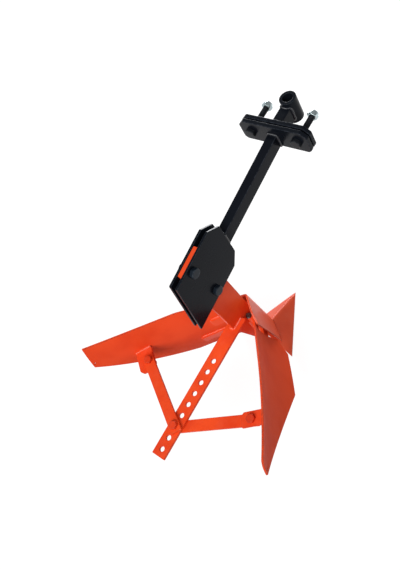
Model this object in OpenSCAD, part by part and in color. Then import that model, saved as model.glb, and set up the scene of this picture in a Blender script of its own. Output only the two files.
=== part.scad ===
// Adjustable ridger for a walk-behind tractor.
// Origin: centre of the vertical hitch bore. +X is the direction of travel, +Y is left, +Z is up.
// All lengths are in millimetres and all angles in degrees.

/* [Hitch] */
// Bore that takes the tractor's hitch pin
hitch_bore_d = 20.5; // [16:0.5:24]
// Outside diameter of the hitch tube
hitch_tube_d = 33; // [28:1:40]
// Length of the hitch tube
hitch_tube_length = 54; // [36:1:70]
// Distance from the bore axis back to the front plate
front_plate_back = 50; // [40:1:60]
// Width of the stub between the tube and the front plate
stub_width = 22; // [14:1:26]
// Height of the stub
stub_height = 32; // [20:1:36]
// Length of each hitch plate across the drawbar
plate_length = 152; // [136:1:180]
// Height of each hitch plate
plate_height = 52; // [44:1:70]
// Thickness of each hitch plate
plate_thickness = 8; // [6:1:14]
// Bevel on the two top corners of each hitch plate
plate_corner = 12; // [4:1:18]
// Bevel on the two bottom corners of each hitch plate
plate_foot_corner = 6; // [3:1:18]
// Gap between the two hitch plates when they are pushed together
plate_gap = 3; // [1:0.5:5]
// Distance between the two hitch bolts
hitch_bolt_spacing = 102; // [84:1:110]
// Thread size of the hitch bolts
hitch_bolt_d = 12; // [8:1:14]
// Length of hitch bolt that stands out ahead of the front plate
hitch_bolt_reach = 50; // [30:1:60]

/* [Drawbar and cheeks] */
// Length from the bore axis back to the middle of the standard
drawbar_length = 360; // [330:1:400]
// Rise of the drawbar towards the hitch
drawbar_rise = 6; // [0:0.5:8]
// Height of the drawbar section
drawbar_height = 29; // [22:1:36]
// Length of the tongue that the drawbar puts between the cheeks
tongue_length = 36; // [20:1:44]
// Thickness of each cheek plate
cheek_thickness = 5; // [4:1:10]
// Middle of the cheeks' front edge ahead of the middle of the standard, along the drawbar
cheek_ahead = 81; // [66:1:110]
// Lean of the cheeks' front edge: its top end is this far ahead of its middle
cheek_lean = 7; // [0:1:10]
// Rear top corner of the cheeks behind the middle of the standard, along the drawbar
cheek_top_behind = 49; // [42:1:65]
// Rear bottom corner of the cheeks behind the middle of the standard, along the drawbar
cheek_bottom_behind = 85; // [60:1:100]
// Half of the cheeks' height
cheek_half_height = 63; // [58:1:70]
// Bevel on the two front corners of the cheeks
cheek_corner = 23; // [8:1:30]
// Line of the two cheek bolts behind the middle of the standard, along the drawbar
cheek_bolt_behind = 7; // [0:1:14]
// Distance between the two cheek bolts
cheek_bolt_spacing = 90; // [70:1:94]
// Thread size of the cheek bolts
cheek_bolt_d = 12; // [8:1:14]

/* [Standard] */
// Width of the standard
standard_width = 60; // [54:1:66]
// Thickness of the standard, which also spaces the cheeks
standard_thickness = 10; // [6:1:10]
// Top end of the standard below the top edges of the cheeks
standard_top_inset = 2; // [0.5:0.5:10]
// Forward slope of the standard's rear edge below the adjusting bar
standard_taper = 14; // [0:0.5:16]

/* [Adjusting bar] */
// Height of the bore centre above the top face of the adjusting bar
body_height = 220; // [190:1:260]
// Width of the adjusting bar
bar_width = 32; // [28:1:40]
// Thickness of the adjusting bar
bar_thickness = 6; // [4:0.5:8]
// Distance from the middle of the standard back to the first adjusting hole
first_hole_back = 107; // [95:1:115]
// Distance between adjusting holes
hole_pitch = 25; // [23:0.5:27]
// Number of adjusting holes
hole_count = 9; // [8:1:10]
// Diameter of the adjusting holes and of the holes in links and lugs
hole_d = 11; // [10.5:0.1:13]
// Bar left behind the last hole
bar_end = 16; // [12:1:24]
// Length of the two prongs that clasp the standard
prong_length = 30; // [20:1:31]
// Adjusting hole that holds the links, counted from the front
used_hole = 7; // [6:1:8]

/* [Wing hinges] */
// Hinge axis ahead of the middle of the standard
hinge_ahead = 11; // [8:1:14]
// Hinge axis to the side of the middle plane
hinge_side = 12; // [12:0.5:14]
// Diameter of the hinge pins
hinge_pin_d = 8; // [6:0.5:8]
// Outside diameter of the hinge knuckles
knuckle_d = 13; // [12:0.5:13]
// Length of each knuckle that turns with a wing
knuckle_length = 24; // [18:1:30]
// Bottom of the lower knuckle above the share's cutting edge
hinge_rise = 74.4; // [66:0.1:84]
// Top of the upper knuckle below the top face of the adjusting bar
hinge_drop = 12; // [11:1:18]
// Thickness of the hinge leaves on the wings
leaf_thickness = 5; // [4:0.5:6]
// Length of the upper leaf along the wing
upper_leaf_length = 66; // [40:1:90]
// Length of the lower leaf along the wing
lower_leaf_length = 112; // [60:1:125]

/* [Wings] */
// Thickness of the wing plate
wing_thickness = 4; // [3:0.5:5]
// Radius of the wing's hollow from top to bottom
wing_hollow_radius = 330; // [300:5:500]
// Radius of the wing's bend from front to rear
wing_bend_radius = 1500; // [1300:10:2000]
// Slope of the hollow's lowest line, up towards the rear
wing_hollow_slope = 5.7; // [4:0.1:8]
// Middle of the hollow, along the wing from the hinge
wing_hollow_along = 176; // [160:1:190]
// Middle of the hollow below the top face of the adjusting bar
wing_hollow_drop = 24; // [15:1:35]
// Outer face of the wing outboard of the hinge axis, at the middle of the hollow
wing_offset = 22.3; // [22:0.1:25]
// Rear top corner, along the wing from the hinge
wing_length = 321; // [300:1:340]
// Rear top corner above the top face of the adjusting bar
wing_rise = 94; // [80:1:110]
// Height of the rear end cut
wing_end_height = 60; // [40:1:80]
// Rake of the rear end cut towards the rear
wing_end_rake = 11; // [0:1:20]
// Bottom corner, along the wing from the hinge
wing_heel_along = 143; // [130:1:160]
// Bottom corner above the share's cutting edge
wing_heel_lift = 27; // [23:1:50]
// Front bottom corner, along the wing from the hinge
wing_toe_along = 44; // [42:1:60]
// Front bottom corner above the share's cutting edge
wing_toe_lift = 16; // [13:1:23]
// Front top corner above the top face of the adjusting bar
wing_nose_rise = 14; // [6:1:20]
// Slit between the breast plate's rear edge and the front edge of the wing
wing_slit = 4; // [3.8:0.1:6]
// Crown of the wing's top edge, along the wing from the hinge
wing_crown_along = 120; // [100:1:140]
// Crown of the wing's top edge above the top face of the adjusting bar
wing_crown_rise = 52; // [44:1:58]
// Sag of the wing's top edge behind its crown
wing_top_sag = 4; // [0:0.5:8]
// Bow of the wing's top edge ahead of its crown
wing_top_bow = 5; // [2:0.5:10]
// Bow of the wing's slanting rear edge
wing_heel_bow = 4; // [2:1:14]
// Small hole by the rear bottom corner of the wing
wing_hole_d = 5; // [3:0.5:8]

/* [Lugs and links] */
// Front edge of the left lug ahead of its pivot, along the wing
left_lug_ahead = 11; // [10.5:0.5:20]
// Rear edge of the left lug behind its pivot, along the wing
left_lug_behind = 28; // [12:1:34]
// Front edge of the right lug ahead of its pivot, along the wing
right_lug_ahead = 15.5; // [12:0.5:24]
// Rear edge of the right lug behind its pivot, along the wing
right_lug_behind = 14; // [12:1:24]
// Inboard end of the lugs beyond the lug pivot
lug_end = 20; // [13:1:24]
// Bevel on an inboard corner of each lug: the rear one of the left lug, the front one of the right lug
lug_corner = 7; // [2:1:10]
// Thickness of the lugs
lug_thickness = 6; // [4:0.5:8]
// Lug pivot, along the wing from the hinge
lug_along = 218.5; // [200:0.5:230]
// Lug pivot inboard of the hinge axis, square to the wing
lug_inset = 15.7; // [8:0.1:24]
// Distance between the two holes of a link
link_length = 160; // [152:1:166]
// Width of the links
link_width = 24; // [20:1:32]
// Square end of the links beyond each hole
link_end = 14; // [11:1:18]
// Thickness of the links
link_thickness = 6; // [4:0.5:8]
// Thread size of the pivot bolts
pivot_bolt_d = 10; // [8:0.5:10]

/* [Breast and share] */
// Thickness of the breast plate
breast_thickness = 4; // [3:0.5:5]
// Half of the angle between the two sides of the breast plate
breast_half_angle = 48; // [46:0.5:52]
// Backward lean of the breast ridge towards its top
breast_rake = 3; // [0:0.5:4]
// Top corners of the breast plate ahead of its rearmost corners
breast_top_ahead = 14; // [6:1:20]
// Top of the breast ridge below the top face of the adjusting bar, negative when above it
breast_top_drop = -22; // [-30:1:0]
// Foot of the breast ridge ahead of the middle of the standard
ridge_ahead = 51; // [50:1:60]
// Thickness of the share
share_thickness = 6; // [4:0.5:9]
// Share tip ahead of the middle of the standard
share_tip_ahead = 139; // [120:1:160]
// Depth of the share's cutting edge below the top face of the adjusting bar
share_depth = 165; // [160:1:185]
// Half of the share's width at its rear corners
share_half_width = 71; // [60:1:84]
// Rear corners of the share behind the middle of the standard
share_corner_back = 1; // [-5:1:6]
// Rear end of the share's ridge ahead of the middle of the standard
share_rear_ahead = 16; // [12:1:24]
// Fall of the share's ridge towards the tip
share_pitch = 22.4; // [20:0.1:25]

/* [Fits] */
// Radial gap of a turning pin in its bore
running_gap = 0.08; // [0.05:0.01:0.1]
// Gap between flat faces that slide past each other
slide_gap = 0.3; // [0.2:0.05:0.6]
// Gap behind a piece that is welded on a curved face
seat_gap = 0.1; // [0.05:0.05:0.3]
// Radial gap of a bolt in a plain hole
bolt_gap = 0.5; // [0.3:0.1:0.8]

/* [Hidden] */
$fn = 64;
smooth_fn = 720;

// Paint and plating
black_paint = "#1c1d20";
orange_paint = "#e8461c";
red_paint = "#c9402a";
zinc = "#c9cec8";

// Hitch
rear_plate_front = front_plate_back + plate_thickness + plate_gap;
rear_plate_back = rear_plate_front + plate_thickness;
hitch_bolt_tip = front_plate_back - hitch_bolt_reach;
bolt_tip_play = 1;

// Drawbar and cheeks: the drawbar is as wide as the two cheeks with the standard between them
// The cheeks and their bolts keep their places about the standard when the drawbar's length changes
cheek_outer = standard_thickness / 2 + cheek_thickness;
cheek_front = drawbar_length - cheek_ahead;
cheek_top_back = drawbar_length + cheek_top_behind;
cheek_bottom_back = drawbar_length + cheek_bottom_behind;
cheek_bolt_back = drawbar_length + cheek_bolt_behind;
drawbar_width = 2 * cheek_outer;
cheek_nut_h = cheek_bolt_d * 0.45;
cheek_bolt_tail = 0.6;
cheek_edge = [
    [-cheek_front - cheek_lean, cheek_corner - cheek_half_height],
    [-cheek_front + cheek_lean, cheek_half_height - cheek_corner]
];

// Adjusting bar, in the body frame: x from the middle of the standard, z from the bar's top face
standard_rear = -standard_width / 2;
standard_front = standard_width / 2;
row_start_x = hole_pitch - first_hole_back;
last_hole_x = row_start_x - hole_count * hole_pitch;
pin_x = row_start_x - used_hole * hole_pitch;

// Hinges: heights below the bar's top face, with the fixed knuckle between the two that turn
fixed_knuckle_length = share_depth - hinge_rise - hinge_drop - 2 * (knuckle_length + slide_gap);
upper_knuckle_z = -hinge_drop - knuckle_length;
fixed_knuckle_z = upper_knuckle_z - slide_gap - fixed_knuckle_length;
lower_knuckle_z = fixed_knuckle_z - slide_gap - knuckle_length;
hinge_head_h = 4;
hinge_head_d = knuckle_d;
hinge_washer_t = 1.6;
hinge_washer_d = knuckle_d;
split_pin_d = 2.5;
split_pin_length = hinge_pin_d * 2;
hinge_washer_z = lower_knuckle_z - slide_gap - hinge_washer_t;
split_pin_z = hinge_washer_z - slide_gap - split_pin_d / 2;
hinge_pin_foot = split_pin_z - 1.6 * split_pin_d;

// Linkage: the link's length and the hole in use set how far the wings stand open
lug_radius = sqrt(pow(lug_along, 2) + pow(lug_inset, 2));
pin_behind_hinge = hinge_ahead - pin_x;
pin_radius = sqrt(pow(pin_behind_hinge, 2) + pow(hinge_side, 2));
reach_cosine = (pow(lug_radius, 2) + pow(pin_radius, 2) - pow(link_length, 2)) / (2 * lug_radius * pin_radius);
reach_angle = acos(reach_cosine);
lug_bearing = reach_angle - atan2(hinge_side, pin_behind_hinge);
wing_angle = lug_bearing + atan2(lug_inset, lug_along);
lug_x = hinge_ahead - lug_radius * cos(lug_bearing);
lug_y = hinge_side + lug_radius * sin(lug_bearing);
link_angle = atan2(lug_y, lug_x - pin_x);
echo(wing_angle = wing_angle, lug_x = lug_x, lug_y = lug_y, pin_x = pin_x);

// Pivot stacks, heights from the bar's top face
left_link_z = slide_gap;
right_link_z = -bar_thickness - slide_gap - link_thickness;
lug_z = -lug_thickness;
lug_edge = 1;
bolt_tail = 3;
washer_t = 2;

// Breast and share: the breast stands on the share's ridge, and the share's rear corners lie on the ground
ridge_drop = share_depth - (share_tip_ahead - ridge_ahead) * tan(share_pitch);
ridge_foot = [ridge_ahead, 0, -ridge_drop];
share_tip = [share_tip_ahead, 0, -share_depth];
share_droop = atan2((share_tip_ahead + share_corner_back) * sin(share_pitch), share_half_width);
breast_height = ridge_drop - breast_top_drop;
breast_reach = share_half_width / sin(breast_half_angle);
breast_rear_top = [-2, 6];
breast_rear_low = [15, 47 - share_depth];
breast_rear_foot = [16, -share_depth];
frog_rise = 10;
cut = 1;
big = 400;

// Wing outline points: along the wing from the hinge, and height from the bar's top face
// The front edge runs beside the breast plate's rear edge
wing_front_top = [breast_edge(breast_rear_top) + wing_slit, wing_nose_rise];
wing_front_low = [breast_edge(breast_rear_low) + wing_slit, breast_rear_low[1] - wing_slit];
wing_toe = [wing_toe_along, wing_toe_lift - share_depth];
wing_heel = [wing_heel_along, wing_heel_lift - share_depth];
wing_tip = [wing_length, wing_rise];
wing_crown = [wing_crown_along, wing_crown_rise];
wing_end_low = [wing_length + wing_end_rake, wing_rise - wing_end_height];
wing_hole_inset = [-8, 9];
outline_steps = 12;
wing_depth = 2 * (lug_inset + lug_end + wing_offset);

// How far along the wing a point of the breast plate's rear edge lies, given from the side as [x, z]
function breast_edge(p) =
    let (ridge_x = ridge_ahead - (ridge_drop + p[1]) * tan(breast_rake),
         y = (ridge_x - p[0]) * tan(breast_half_angle))
        (hinge_ahead - p[0]) * cos(wing_angle) + (y - hinge_side) * sin(wing_angle);

// Height of the standard's sloping top end above the bore centre, at x from its middle
function standard_top_z(x) =
    (cheek_half_height - standard_top_inset) / cos(drawbar_rise) + (x - drawbar_length) * tan(drawbar_rise);

// Points between p and q on a shallow bow, its rise to the left of the way from p to q
function bow(p, q, rise) = [
    for (i = [0 : outline_steps])
        let (t = i / outline_steps, d = q - p, side = [-d[1], d[0]] / norm(d))
            p + d * t + side * 4 * rise * t * (1 - t)
];

// Frames

// The drawbar's frame: x forward along the drawbar, which rises towards the bore
module drawbar_frame() {
    rotate([0, -drawbar_rise, 0]) children();
}

// The body's frame: the middle of the standard at the height of the bar's top face
module body_frame() {
    translate([-drawbar_length, 0, -body_height]) children();
}

// The left wing's frame: hinge axis at the origin, x back along the wing, -y outboard
module wing_frame() {
    body_frame()
        translate([hinge_ahead, hinge_side, 0])
            rotate([0, 0, 180 - wing_angle]) children();
}

// The left link's frame: lug pivot at the origin, x towards the adjusting bolt
module link_frame() {
    body_frame()
        translate([lug_x, lug_y, 0])
            rotate([0, 0, 180 + link_angle]) children();
}

module on_right() {
    mirror([0, 1, 0]) children();
}

module on_both_sides() {
    children();
    on_right() children();
}

// Fasteners

function hex_flats(d) = d * 1.5 + 1;
function head_height(d) = d * 0.65;
function nut_height(d) = d * 0.84;

// A hexagon with its top corners turned to a chamfer
module hex_block(d, h) {
    flats = hex_flats(d);
    corner = flats / cos(30);
    chamfer = (corner - flats) / 2;
    intersection() {
        cylinder(d = corner, h = h, $fn = 6);
        rotate_extrude()
            polygon([[0, 0], [corner / 2, 0], [corner / 2, h - chamfer / 2], [flats / 2 * 0.96, h], [0, h]]);
    }
}

// A hexagon bolt along -z, its head standing on z = 0
module hex_bolt(d, length) {
    tip_chamfer = d * 0.08;
    hex_block(d, head_height(d));
    translate([0, 0, -length])
        rotate_extrude()
            polygon([[0, 0], [d / 2 - tip_chamfer, 0], [d / 2, tip_chamfer], [d / 2, length], [0, length]]);
}

// A hexagon nut that sits on z = 0 and takes a bolt of thread d
module hex_nut(d, h) {
    difference() {
        hex_block(d, h);
        translate([0, 0, -cut]) cylinder(d = d + 2 * running_gap, h = h + 2 * cut);
    }
}

module washer(d, outer, t) {
    difference() {
        cylinder(d = outer, h = t);
        translate([0, 0, -cut]) cylinder(d = d + 2 * running_gap, h = t + 2 * cut);
    }
}

// Hitch

module hitch_tube() {
    color(black_paint)
        difference() {
            cylinder(d = hitch_tube_d, h = hitch_tube_length, center = true);
            cylinder(d = hitch_bore_d, h = hitch_tube_length + 2 * cut, center = true);
        }
}

module hitch_stub() {
    color(black_paint)
        difference() {
            translate([-front_plate_back, -stub_width / 2, -stub_height / 2])
                cube([front_plate_back, stub_width, stub_height]);
            cylinder(d = hitch_tube_d, h = stub_height + 2 * cut, center = true);
        }
}

// One hitch plate with bevelled corners, its front face at x = 0
module hitch_plate() {
    half_length = plate_length / 2;
    half_height = plate_height / 2;
    difference() {
        rotate([90, 0, -90])
            linear_extrude(plate_thickness)
                polygon([
                    [half_length, half_height - plate_corner],
                    [half_length - plate_corner, half_height],
                    [plate_corner - half_length, half_height],
                    [-half_length, half_height - plate_corner],
                    [-half_length, plate_foot_corner - half_height],
                    [plate_foot_corner - half_length, -half_height],
                    [half_length - plate_foot_corner, -half_height],
                    [half_length, plate_foot_corner - half_height]
                ]);
        hitch_bolt_places()
            translate([-plate_thickness - cut, 0, 0])
                rotate([0, 90, 0])
                    cylinder(d = hitch_bolt_d + 2 * bolt_gap, h = plate_thickness + 2 * cut);
    }
}

module hitch_bolt_places() {
    for (side = [-1, 1]) translate([0, side * hitch_bolt_spacing / 2, 0]) children();
}

module front_hitch_plate() {
    color(black_paint) translate([-front_plate_back, 0, 0]) hitch_plate();
}

module rear_hitch_plate() {
    color(black_paint) translate([-rear_plate_front, 0, 0]) hitch_plate();
}

module hitch_bolts() {
    color(black_paint)
        hitch_bolt_places()
            translate([-rear_plate_back, 0, 0])
                rotate([0, -90, 0]) hex_bolt(hitch_bolt_d, rear_plate_back - hitch_bolt_tip);
}

module hitch_nuts() {
    nut_h = hitch_bolt_d;
    color(zinc)
        hitch_bolt_places()
            translate([-hitch_bolt_tip - bolt_tip_play - nut_h, 0, 0])
                rotate([0, 90, 0]) hex_nut(hitch_bolt_d, nut_h);
}

// Drawbar and cheeks

// Square bar cut to the slope of the cheeks' front edges, with a tongue that goes in between them
module drawbar() {
    bar_back = cheek_front + tongue_length;
    behind = -bar_back - cut;
    color(black_paint)
        difference() {
            drawbar_frame()
                union() {
                    difference() {
                        translate([-bar_back, -drawbar_width / 2, -drawbar_height / 2])
                            cube([bar_back, drawbar_width, drawbar_height]);
                        rotate([90, 0, 0])
                            linear_extrude(drawbar_width + 2 * cut, center = true)
                                polygon(concat(cheek_edge, [[behind, big / 2], [behind, -big / 2]]));
                    }
                    translate([-bar_back, -standard_thickness / 2, -drawbar_height / 2])
                        cube([tongue_length + cheek_lean, standard_thickness, drawbar_height]);
                }
            translate([-rear_plate_back, -big / 2, -big / 2]) cube([big, big, big]);
        }
}

module cheek_bolt_places() {
    drawbar_frame()
        for (side = [-1, 1])
            translate([-cheek_bolt_back, 0, side * cheek_bolt_spacing / 2]) children();
}

// Bolt holes across the cheeks and the standard
module cheek_bolt_holes() {
    cheek_bolt_places()
        rotate([90, 0, 0])
            cylinder(d = cheek_bolt_d + 2 * bolt_gap, h = drawbar_width + 2 * cut, center = true);
}

module left_cheek() {
    color(black_paint)
        difference() {
            drawbar_frame()
                translate([0, cheek_outer, 0])
                    rotate([90, 0, 0])
                        linear_extrude(cheek_thickness)
                            polygon([
                                [-cheek_bottom_back, -cheek_half_height],
                                cheek_edge[0] + [-cheek_corner, -cheek_corner],
                                cheek_edge[0],
                                cheek_edge[1],
                                cheek_edge[1] + [-cheek_corner, cheek_corner],
                                [-cheek_top_back, cheek_half_height]
                            ]);
            cheek_bolt_holes();
        }
}

module right_cheek() {
    on_right() left_cheek();
}

module cheek_bolts() {
    length = 2 * cheek_outer + washer_t + cheek_nut_h + cheek_bolt_tail;
    color(black_paint)
        cheek_bolt_places()
            translate([0, -cheek_outer, 0])
                rotate([90, 0, 0]) hex_bolt(cheek_bolt_d, length);
}

module cheek_washers() {
    color(black_paint)
        cheek_bolt_places()
            translate([0, cheek_outer, 0])
                rotate([-90, 0, 0]) washer(cheek_bolt_d, cheek_bolt_d * 1.9, washer_t);
}

module cheek_nuts() {
    color(black_paint)
        cheek_bolt_places()
            translate([0, cheek_outer + washer_t, 0])
                rotate([-90, 0, 0]) hex_nut(cheek_bolt_d, cheek_nut_h);
}

// Body

// Upright flat bar, tapered below the adjusting bar, its foot cut to sit astride the share's ridge
module standard() {
    heel_x = standard_rear + (share_depth - bar_thickness) * tan(standard_taper);
    color(orange_paint)
        difference() {
            body_frame()
                difference() {
                    translate([0, standard_thickness / 2, 0])
                        rotate([90, 0, 0])
                            linear_extrude(standard_thickness)
                                polygon([
                                    [standard_front, body_height + standard_top_z(standard_front)],
                                    [standard_rear, body_height + standard_top_z(standard_rear)],
                                    [standard_rear, -bar_thickness],
                                    [heel_x, -share_depth],
                                    [standard_front, -share_depth]
                                ]);
                    under_share();
                }
            cheek_bolt_holes();
        }
}

// Flat bar with a row of holes, its front end slotted to clasp the standard
module adjusting_bar() {
    rear = last_hole_x - bar_end;
    front = standard_rear + prong_length;
    color(orange_paint)
        body_frame()
            translate([0, 0, -bar_thickness])
                linear_extrude(bar_thickness)
                    difference() {
                        translate([rear, -bar_width / 2]) square([front - rear, bar_width]);
                        translate([standard_rear, -standard_thickness / 2])
                            square([prong_length + cut, standard_thickness]);
                        for (i = [1 : hole_count])
                            translate([row_start_x - i * hole_pitch, 0]) circle(d = hole_d);
                    }
}

// The plan of the left half of the share, as a tall block
module share_plan() {
    translate([0, 0, -share_depth])
        linear_extrude(big)
            polygon([[share_tip_ahead, 0], [share_rear_ahead, 0], [-share_corner_back, share_half_width]]);
}

// A slab of thickness t under the left face of the share
module share_slab(t) {
    translate(share_tip)
        rotate([0, share_pitch, 0])
            rotate([-share_droop, 0, 0])
                translate([-big, -big / 2, -t]) cube([2 * big, big, t]);
}

// All that lies under the two faces of the share
module under_share() {
    intersection() {
        share_slab(big);
        on_right() share_slab(big);
    }
}

// V-bent triangular point, cut flat along the ground
module share() {
    color(red_paint)
        body_frame()
            on_both_sides()
                intersection() {
                    share_slab(share_thickness);
                    share_plan();
                }
}

// The V of the breast plate seen from above, from its outer face to a depth t behind it
module breast_plan(t) {
    back = breast_reach * cos(breast_half_angle);
    side = breast_reach * sin(breast_half_angle);
    inner = t / sin(breast_half_angle);
    polygon([
        [0, 0], [-back, side], [-back - inner, side], [-inner, 0], [-back - inner, -side], [-back, -side]
    ]);
}

module breast_frame() {
    translate(ridge_foot)
        rotate([0, -breast_rake, 0]) children();
}

// V-bent plate on the share's ridge, its side edges slanting forward towards the foot
module breast_plate() {
    color(red_paint)
        body_frame()
            difference() {
                intersection() {
                    breast_frame()
                        translate([0, 0, -breast_height / 2])
                            linear_extrude(2 * breast_height) breast_plan(breast_thickness);
                    translate([0, big / 2, 0])
                        rotate([90, 0, 0])
                            linear_extrude(big)
                                polygon([
                                    [share_tip_ahead, -share_depth],
                                    [share_tip_ahead, -breast_top_drop],
                                    [breast_rear_top[0] + breast_top_ahead, -breast_top_drop],
                                    breast_rear_top,
                                    breast_rear_low,
                                    breast_rear_foot
                                ]);
                }
                under_share();
            }
}

// Filler bar in the nose that ties the standard to the breast plate and the share
module frog() {
    inner = breast_thickness / sin(breast_half_angle);
    back = breast_reach * cos(breast_half_angle);
    side = breast_reach * sin(breast_half_angle);
    color(red_paint)
        body_frame()
            difference() {
                translate([standard_front, -standard_thickness / 2, -share_depth])
                    cube([ridge_ahead - standard_front, standard_thickness, share_depth + frog_rise]);
                under_share();
                breast_frame()
                    translate([0, 0, -breast_height])
                        linear_extrude(3 * breast_height)
                            polygon([[-inner, 0], [-inner - back, side], [breast_reach, breast_reach],
                                     [breast_reach, -breast_reach], [-inner - back, -side]]);
            }
}

// Wing hinges

module hinge_places() {
    on_both_sides()
        body_frame() translate([hinge_ahead, hinge_side, 0]) children();
}

// Fixed knuckles, welded to the sides of the standard
module hinge_blocks() {
    depth = hinge_side - standard_thickness / 2;
    color(orange_paint)
        hinge_places()
            translate([0, 0, fixed_knuckle_z])
                difference() {
                    union() {
                        cylinder(d = knuckle_d, h = fixed_knuckle_length);
                        translate([-knuckle_d / 2, -depth, 0]) cube([knuckle_d, depth, fixed_knuckle_length]);
                    }
                    translate([0, 0, -cut])
                        cylinder(d = hinge_pin_d + 2 * running_gap, h = fixed_knuckle_length + 2 * cut);
                }
}

module hinge_pins() {
    head_z = slide_gap - hinge_drop;
    color(orange_paint)
        hinge_places()
            difference() {
                union() {
                    translate([0, 0, head_z])
                        cylinder(d1 = hinge_head_d, d2 = hinge_head_d * 0.8, h = hinge_head_h);
                    translate([0, 0, hinge_pin_foot])
                        cylinder(d = hinge_pin_d, h = head_z - hinge_pin_foot + cut);
                }
                translate([0, 0, split_pin_z])
                    rotate([0, 90, 0])
                        cylinder(d = split_pin_d + 2 * running_gap, h = hinge_pin_d + 2 * cut, center = true);
            }
}

module hinge_washers() {
    color(zinc)
        hinge_places() translate([0, 0, hinge_washer_z]) washer(hinge_pin_d, hinge_washer_d, hinge_washer_t);
}

module split_pins() {
    color(zinc)
        hinge_places()
            translate([0, 0, split_pin_z])
                rotate([0, 90, 0]) cylinder(d = split_pin_d, h = split_pin_length, center = true);
}

// Wings

// A layer of the wing's hollow, bent form, between two depths inboard of its outer face
module wing_layer(near, far) {
    reach = 2 * atan2(wing_length, wing_bend_radius);
    centre = wing_bend_radius + wing_hollow_radius;
    translate([wing_hollow_along, wing_bend_radius - wing_offset, -wing_hollow_drop])
        rotate([0, -wing_hollow_slope, 0])
            rotate([0, 0, -90 - reach / 2])
                rotate_extrude(angle = reach, $fn = smooth_fn)
                    intersection() {
                        translate([centre, 0])
                            difference() {
                                circle(r = wing_hollow_radius + far, $fn = smooth_fn);
                                circle(r = wing_hollow_radius + near, $fn = smooth_fn);
                            }
                        translate([wing_bend_radius - wing_depth / 2, -wing_hollow_radius / 2])
                            square([wing_depth, wing_hollow_radius]);
                    }
}

// A block through the wing with the given outline
module wing_block(outline) {
    translate([0, wing_depth / 2, 0])
        rotate([90, 0, 0])
            linear_extrude(wing_depth) polygon(outline);
}

module wing_plate() {
    wing_outline = concat(
        [wing_front_low, wing_toe],
        bow(wing_heel, wing_end_low, -wing_heel_bow),
        bow(wing_tip, wing_crown, wing_top_sag),
        bow(wing_crown, wing_front_top, -wing_top_bow)
    );
    hole_at = wing_end_low + wing_hole_inset;
    wing_frame()
        difference() {
            intersection() {
                wing_layer(0, wing_thickness);
                wing_block(wing_outline);
            }
            translate([hole_at[0], 0, hole_at[1]])
                rotate([90, 0, 0]) cylinder(d = wing_hole_d, h = wing_depth, center = true);
        }
}

// Knuckle with a leaf that lies on the inner face of the wing
module hinge_leaf(z, length) {
    near = wing_thickness + seat_gap;
    difference() {
        union() {
            translate([0, 0, z]) cylinder(d = knuckle_d, h = knuckle_length);
            intersection() {
                wing_layer(near, near + leaf_thickness);
                wing_block([[0, z], [length, z], [length, z + knuckle_length], [0, z + knuckle_length]]);
            }
        }
        translate([0, 0, z - cut]) cylinder(d = hinge_pin_d + 2 * running_gap, h = knuckle_length + 2 * cut);
    }
}

module wing_leaves() {
    wing_frame() {
        hinge_leaf(upper_knuckle_z, upper_leaf_length);
        hinge_leaf(lower_knuckle_z, lower_leaf_length);
    }
}

// Flat lug, welded edge-on to the inner face of the wing, with bevels on its two inboard corners
module wing_lug(ahead, behind, front_corner, rear_corner) {
    front = lug_along - ahead;
    rear = lug_along + behind;
    end = lug_inset + lug_end;
    wing_frame()
        difference() {
            translate([0, 0, lug_z])
                linear_extrude(lug_thickness)
                    polygon([
                        [front, -wing_depth / 4],
                        [rear, -wing_depth / 4],
                        [rear, end - rear_corner],
                        [rear - rear_corner, end],
                        [front + front_corner, end],
                        [front, end - front_corner]
                    ]);
            translate([lug_along, lug_inset, lug_z - cut]) cylinder(d = hole_d, h = lug_thickness + 2 * cut);
            wing_layer(-wing_depth / 2, wing_thickness + seat_gap);
        }
}

module left_wing() {
    color(orange_paint) wing_plate();
}

module right_wing() {
    color(red_paint) on_right() wing_plate();
}

module left_hinge_leaves() {
    color(orange_paint) wing_leaves();
}

module right_hinge_leaves() {
    color(orange_paint) on_right() wing_leaves();
}

module left_lug() {
    color(orange_paint) wing_lug(left_lug_ahead, left_lug_behind, lug_edge, lug_corner);
}

module right_lug() {
    color(orange_paint)
        on_right() wing_lug(right_lug_ahead, right_lug_behind, lug_corner, lug_edge);
}

// Links and pivot bolts

module link_plate() {
    linear_extrude(link_thickness)
        difference() {
            translate([-link_end, -link_width / 2]) square([link_length + 2 * link_end, link_width]);
            circle(d = hole_d);
            translate([link_length, 0]) circle(d = hole_d);
        }
}

module left_link() {
    color(orange_paint) link_frame() translate([0, 0, left_link_z]) link_plate();
}

module right_link() {
    color(orange_paint) on_right() link_frame() translate([0, 0, right_link_z]) link_plate();
}

// Bolt through the left link and lug, link on top
module left_lug_bolt() {
    head_z = left_link_z + link_thickness + slide_gap;
    length = head_z - lug_z + washer_t + nut_height(pivot_bolt_d) + bolt_tail;
    color(orange_paint) link_frame() translate([0, 0, head_z]) hex_bolt(pivot_bolt_d, length);
}

module left_lug_washer() {
    color(orange_paint)
        link_frame() translate([0, 0, lug_z - washer_t]) washer(pivot_bolt_d, pivot_bolt_d * 2, washer_t);
}

module left_lug_nut() {
    color(orange_paint)
        link_frame()
            translate([0, 0, lug_z - washer_t])
                mirror([0, 0, 1]) hex_nut(pivot_bolt_d, nut_height(pivot_bolt_d));
}

// Bolt through the right lug and link, link beneath
module right_lug_bolt() {
    length = slide_gap + washer_t - right_link_z + nut_height(pivot_bolt_d) + bolt_tail;
    color(orange_paint) on_right() link_frame() hex_bolt(pivot_bolt_d, length);
}

module right_lug_washer() {
    color(orange_paint)
        on_right()
            link_frame()
                translate([0, 0, right_link_z - slide_gap - washer_t])
                    washer(pivot_bolt_d, pivot_bolt_d * 2, washer_t);
}

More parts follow.
